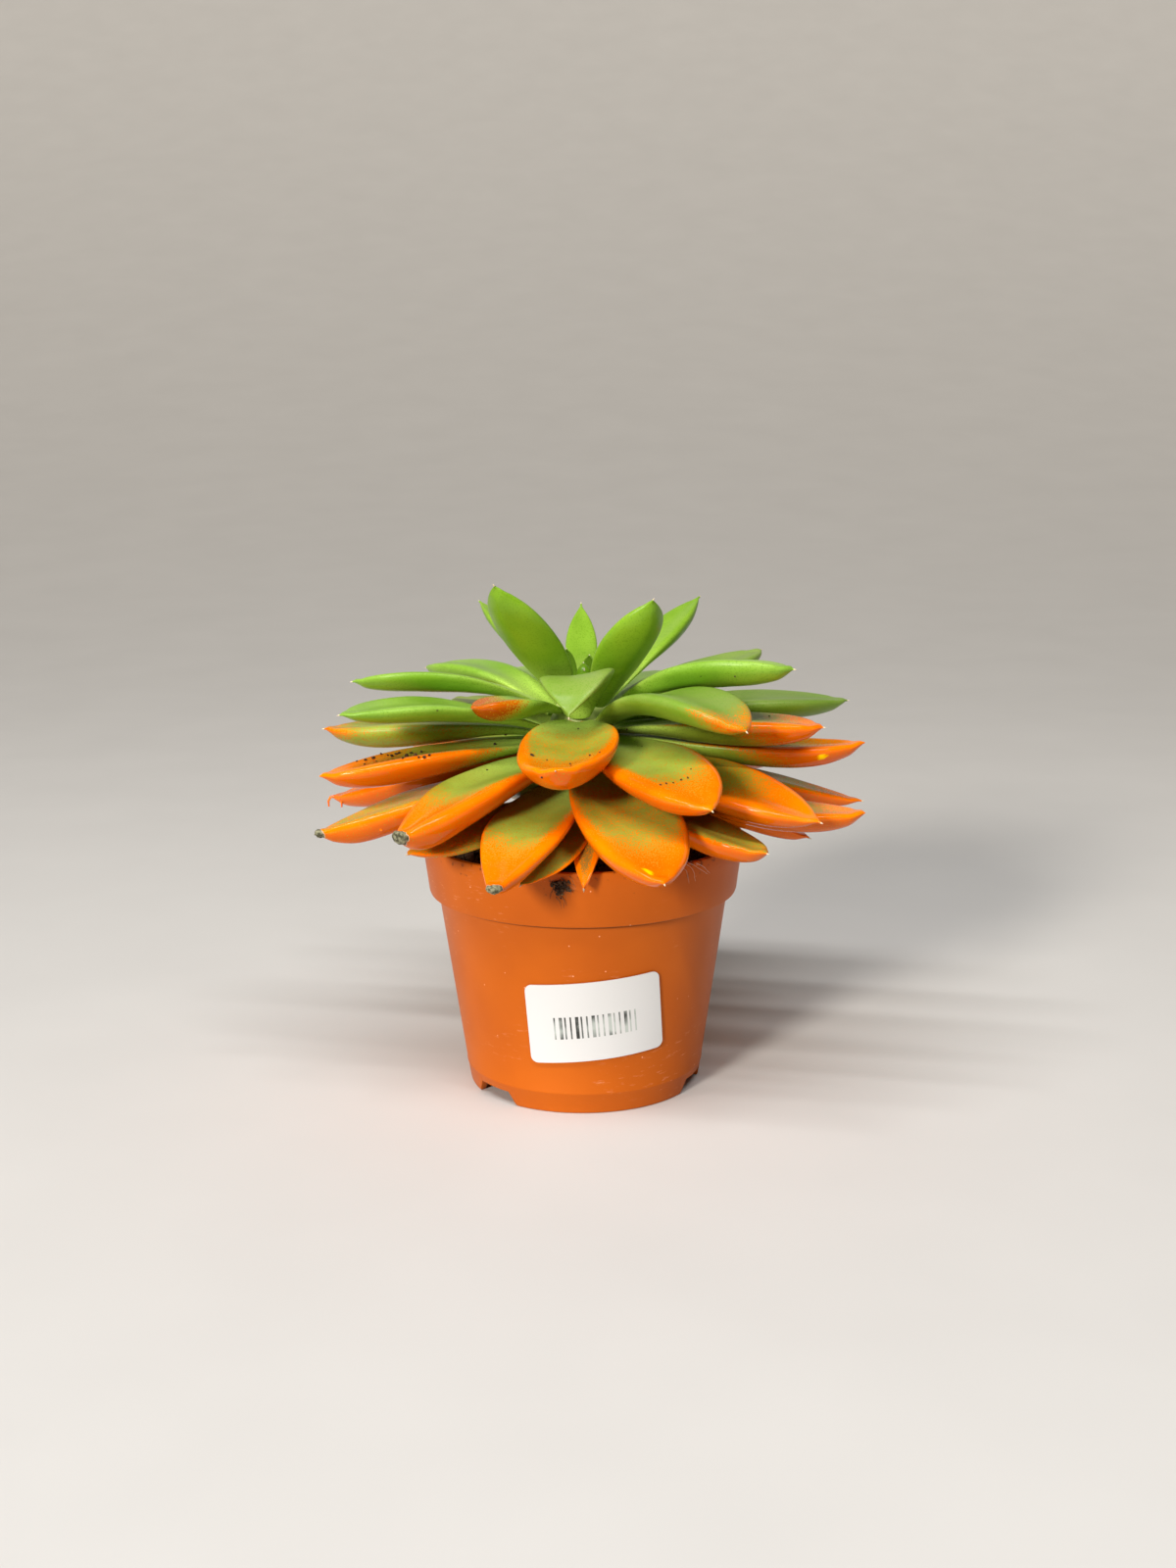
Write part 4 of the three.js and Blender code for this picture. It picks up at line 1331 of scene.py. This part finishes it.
@dataclass
class PottingMix:
    """The peat in the pot, with its crumbs, fibres and hairs, in millimetres.

    clump and on_leaves are pixels of the photograph, the latter each with a crumb's size; hairs are each hair's place
    round the rim and its turn to the side, in degrees.
    """

    camera: PhotoCamera
    edge: tuple[float, float] = (42.2, 67.5)
    crown: tuple[float, float] = (24.0, 70.0)
    hole: float = 9.8
    steps: int = 150
    crumbs: int = 620
    fibres: int = 90
    clump: tuple[float, float] = (572, 905)
    hairs: tuple[tuple[float, float], ...] = ((37, 18), (38.4, 36), (40.2, 60), (35.6, -8), (-20, -30))
    on_leaves: tuple[tuple[float, float, float], ...] = (
        (400, 772, 1.1), (407, 769, 0.9), (415, 772, 1.3), (424, 771, 1.1), (430, 768, 1.0), (438, 771, 0.8),
        (381, 774, 0.9), (373, 776, 0.9), (377, 772, 0.7), (389, 770, 0.8), (404, 770, 0.8), (420, 769, 0.9),
        (411, 774, 0.7), (427, 773, 0.8), (396, 771, 0.7), (372, 780, 0.6), (364, 777, 0.5), (433, 773, 0.9),
        (384, 777, 0.5), (505, 760, 0.9), (516, 749, 0.7), (497, 786, 0.5), (543, 771, 1.0), (558, 776, 0.5),
        (582, 780, 0.6), (602, 771, 0.6), (612, 768, 0.4), (674, 801, 0.5), (680, 800, 0.7), (687, 799, 0.5),
        (695, 796, 0.7), (702, 794, 0.6), (715, 690, 0.4), (750, 690, 0.5), (785, 731, 0.5), (446, 725, 0.5),
        (705, 785, 0.4), (640, 744, 0.6), (655, 762, 0.4), (590, 744, 0.5), (470, 747, 0.4), (553, 793, 0.7),
    )

    def build(self) -> None:
        """Builds the bed, then what lies loose on it and on the leaves."""
        self._bed()
        chance = random.Random(11)
        loose, threads = bmesh.new(), bmesh.new()
        for _ in range(self.crumbs):
            azimuth, radius = chance.uniform(0, 360), 12 + 29.5 * math.sqrt(chance.random())
            size = chance.uniform(0.35, 1.1) * (1.6 if chance.random() < 0.12 else 1)
            self._crumb(loose, around(azimuth, radius, self._top(azimuth, radius) + size * 0.4), size, chance)
        for _ in range(self.fibres):
            azimuth, radius = chance.uniform(0, 360), chance.uniform(20, 41)
            start = around(azimuth, radius, self._top(azimuth, radius) + 0.3)
            self._thread(threads, start, Vector((chance.uniform(-1, 1), chance.uniform(-1, 1), 0.25)), 5, 0.13, chance)
        self._clump(loose, threads, chance)
        piece("peat_crumbs", loose, PEAT)
        piece("peat_fibres", threads, FIBRE)
        self._hairs(chance)
        self._on_leaves(chance)

    def _top(self, azimuth: float, radius: float) -> float:
        """The bed's height at a place, with its lumps."""
        (edge, low), (crown, high) = self.edge, self.crown
        place = around(azimuth, radius, 0) / MM
        lumps = noise.noise(place / 7) * 1.1 + noise.noise(place / 2.4) * 0.7 + noise.noise(place / 0.9) * 0.25
        return mix(low, high, smooth(edge, crown, radius)) + lumps

    def _bed(self) -> None:
        """Spins the bed with fine steps over its top and raises its lumps."""
        edge, low = self.edge
        rows = [self.hole + 0.1 + (edge - self.hole - 0.1) * i / 40 for i in range(41)]
        profile = [(self.hole, 12), (30.6, 12), (31.4, 9.5), (38.6, 54.5), (39.6, 58.2), (edge, low - 1)]
        profile += [(r, self._top(0, r)) for r in reversed(rows)] + [(self.hole, 60)]
        bm = turned(profile, self.steps)
        for v in bm.verts:
            radius, azimuth = math.hypot(v.co.x, v.co.y) / MM, math.degrees(math.atan2(v.co.x, -v.co.y))
            over = v.co.z > (low - 0.99) * MM or radius < edge - 0.01
            if v.co.z > (low - 4) * MM and self.hole + 0.05 < radius and over:
                v.co.z = self._top(azimuth, radius) * MM
        piece("peat_bed", bm, PEAT, ("peat",), crease=180)

    @staticmethod
    def _crumb(bm: BMesh, place: Vector, size: float, chance: random.Random) -> None:
        """Adds one angular crumb.

        Args:
            bm: The mesh of crumbs.
            place: Its middle, in metres.
            size: Its radius, in millimetres.
            chance: The seeded source of its shape.
        """
        stretch = Matrix.Diagonal((chance.uniform(0.6, 1.3), chance.uniform(0.6, 1.3), chance.uniform(0.5, 0.9), 1))
        turn = Matrix.Rotation(chance.uniform(0, 6.3), 4, Vector((chance.random(), chance.random(), 1)).normalized())
        made = bmesh.ops.create_icosphere(
            bm, subdivisions=1, radius=size * MM, matrix=Matrix.Translation(place) @ turn @ stretch
        )
        for v in made["verts"]:
            v.co = place.lerp(v.co, chance.uniform(0.7, 1.2))

    @staticmethod
    def _thread(
        bm: BMesh, start: Vector, heading: Vector, length: float, radius: float, chance: random.Random, sag: float = 0.3
    ) -> None:
        """Adds one bent thread.

        Args:
            bm: The mesh of threads.
            start: Its first point, in metres.
            heading: Its first direction.
            length: Its length, in millimetres.
            radius: Its radius at the start, in millimetres.
            chance: The seeded source of its bends.
            sag: How fast it bends down.
        """
        points, way = [start], heading.normalized()
        for _ in range(6):
            points.append(points[-1] + way * (length / 6 * MM))
            bend = (chance.uniform(-0.4, 0.4), chance.uniform(-0.4, 0.4), chance.uniform(-0.2, 0.2) - sag)
            way = (way + Vector(bend)).normalized()
        strand(bm, points, [radius * MM * (1 - 0.11 * i) for i in range(7)], sides=4)

    def _clump(self, loose: BMesh, threads: BMesh, chance: random.Random) -> None:
        """Adds the tuft of fibrous soil that hangs over the rim in front."""
        across, down = self.clump
        for _ in range(60):
            found = self.camera.hit(chance.gauss(across, 4), chance.gauss(down, 4))
            if found:
                place = found[0] + found[1] * (chance.uniform(0.1, 0.9) * MM)
                self._crumb(loose, place, chance.uniform(0.3, 0.75), chance)
        for _ in range(26):
            found = self.camera.hit(chance.gauss(across + 1, 5), chance.gauss(down - 1, 5))
            if found:
                heading = found[1] * 0.4 + Vector((chance.uniform(-1, 1), 0, chance.uniform(-1.2, 0.5)))
                start = found[0] + found[1] * (0.2 * MM)
                self._thread(threads, start, heading, chance.uniform(2, 4.5), 0.1, chance, sag=0.12)

    def _hairs(self, chance: random.Random) -> None:
        """Adds the few pale root hairs that lie over the rim at the right."""
        hairs = bmesh.new()
        for azimuth, turn in self.hairs:
            start = around(azimuth, 44.2, 71.1)
            heading = around(azimuth + turn, 1, -0.35) / MM
            self._thread(hairs, start, heading, 6.5, 0.07, chance, sag=0.14)
        piece("root_hairs", hairs, HAIR)

    def _on_leaves(self, chance: random.Random) -> None:
        """Lays crumbs of soil where the photograph shows them on the leaves."""
        bm = bmesh.new()
        for across, down, size in self.on_leaves:
            found = self.camera.hit(across, down)
            if found:
                self._crumb(bm, found[0] + found[1] * (0.2 * size * MM), size * 0.6, chance)
        piece("crumbs_on_leaves", bm, PEAT)


@dataclass
class Stem:
    """The short stem, from its foot in the peat to the growing point. Sizes in millimetres."""

    radius: float = 9.4
    foot: tuple[float, float] = (5.4, 34.1)
    shoulder: float = 100.0
    top: float = 111.0
    steps: int = 48

    def build(self) -> None:
        """Spins the stem and gives it rings of old leaf scars."""
        sides = [(self.radius, z) for z in range(61, int(self.shoulder), 3)]
        reach = self.top - self.shoulder
        cap = [(self.radius * math.sqrt(1 - 0.85 * (i / 8) ** 2), self.shoulder + reach * i / 8) for i in range(9)]
        bm = turned([(0, self.foot[1]), self.foot, *sides, *cap, (0, self.top + 0.9)], self.steps)
        for v in bm.verts:
            dent = noise.noise(v.co * 220) * 0.5 + math.sin(v.co.z / MM * 1.3) * 0.12
            out = Vector((v.co.x, v.co.y, 0))
            if out.length > 2 * MM:
                v.co += out.normalized() * ((dent - 0.35) * MM)
        piece("stem_skin", bm, STEM_SKIN, ("stem",), crease=180)


@dataclass
class PaintDrips:
    """Runs of paint that hang from three leaf tips, each from a pixel of the photograph."""

    camera: PhotoCamera
    runs: tuple[tuple[tuple[float, float], tuple[tuple[float, float], ...], float], ...] = (
        ((331, 860), ((-0.5, -1.2), (-0.8, -2.6), (-0.6, -3.8)), 0.34),
        ((341, 812), ((-1.2, -0.2), (-1.9, -1.4), (-1.8, -3.0)), 0.4),
        ((347, 814), ((0.1, -1.0), (0.2, -2.0), (0.2, -2.8)), 0.32),
        ((878, 826), ((1.2, -0.3), (2.0, -1.0), (1.8, -2.2)), 0.45),
        ((874, 822), ((1.4, 0.6), (2.4, 0.0), (2.9, -0.9)), 0.3),
        ((388, 847), ((0.1, 0.0), (0.3, -0.2), (0.5, -0.4)), 0.5),
    )

    def build(self) -> None:
        """Lays each run from the leaf that its pixel shows."""
        bm = bmesh.new()
        for pixel, steps, radius in self.runs:
            found = self.camera.hit(*pixel)
            if not found:
                continue
            start = found[0] - found[1] * (0.25 * MM)
            points = [start] + [start + Vector((x, 0, z)) * MM for x, z in steps]
            strand(bm, points, [radius * 1.2 * MM, radius * MM, radius * 0.8 * MM, radius * 0.55 * MM], sides=10)
        piece("paint_drips", bm, DRIP_PAINT)


# ---------------------------------------------------------------- all together


def main() -> None:
    """Builds the studio and the object's sub-assemblies in order."""
    logging.basicConfig(level=logging.INFO, format="%(message)s")
    camera = PhotoCamera()
    camera.build()
    pot = PlasticPot()
    for part in (pot, Sticker(pot), Stem(), Rosette(), PottingMix(camera), PaintDrips(camera), Studio()):
        part.build()
        log.info("%s done", type(part).__name__)


if __name__ == "__main__":
    main()
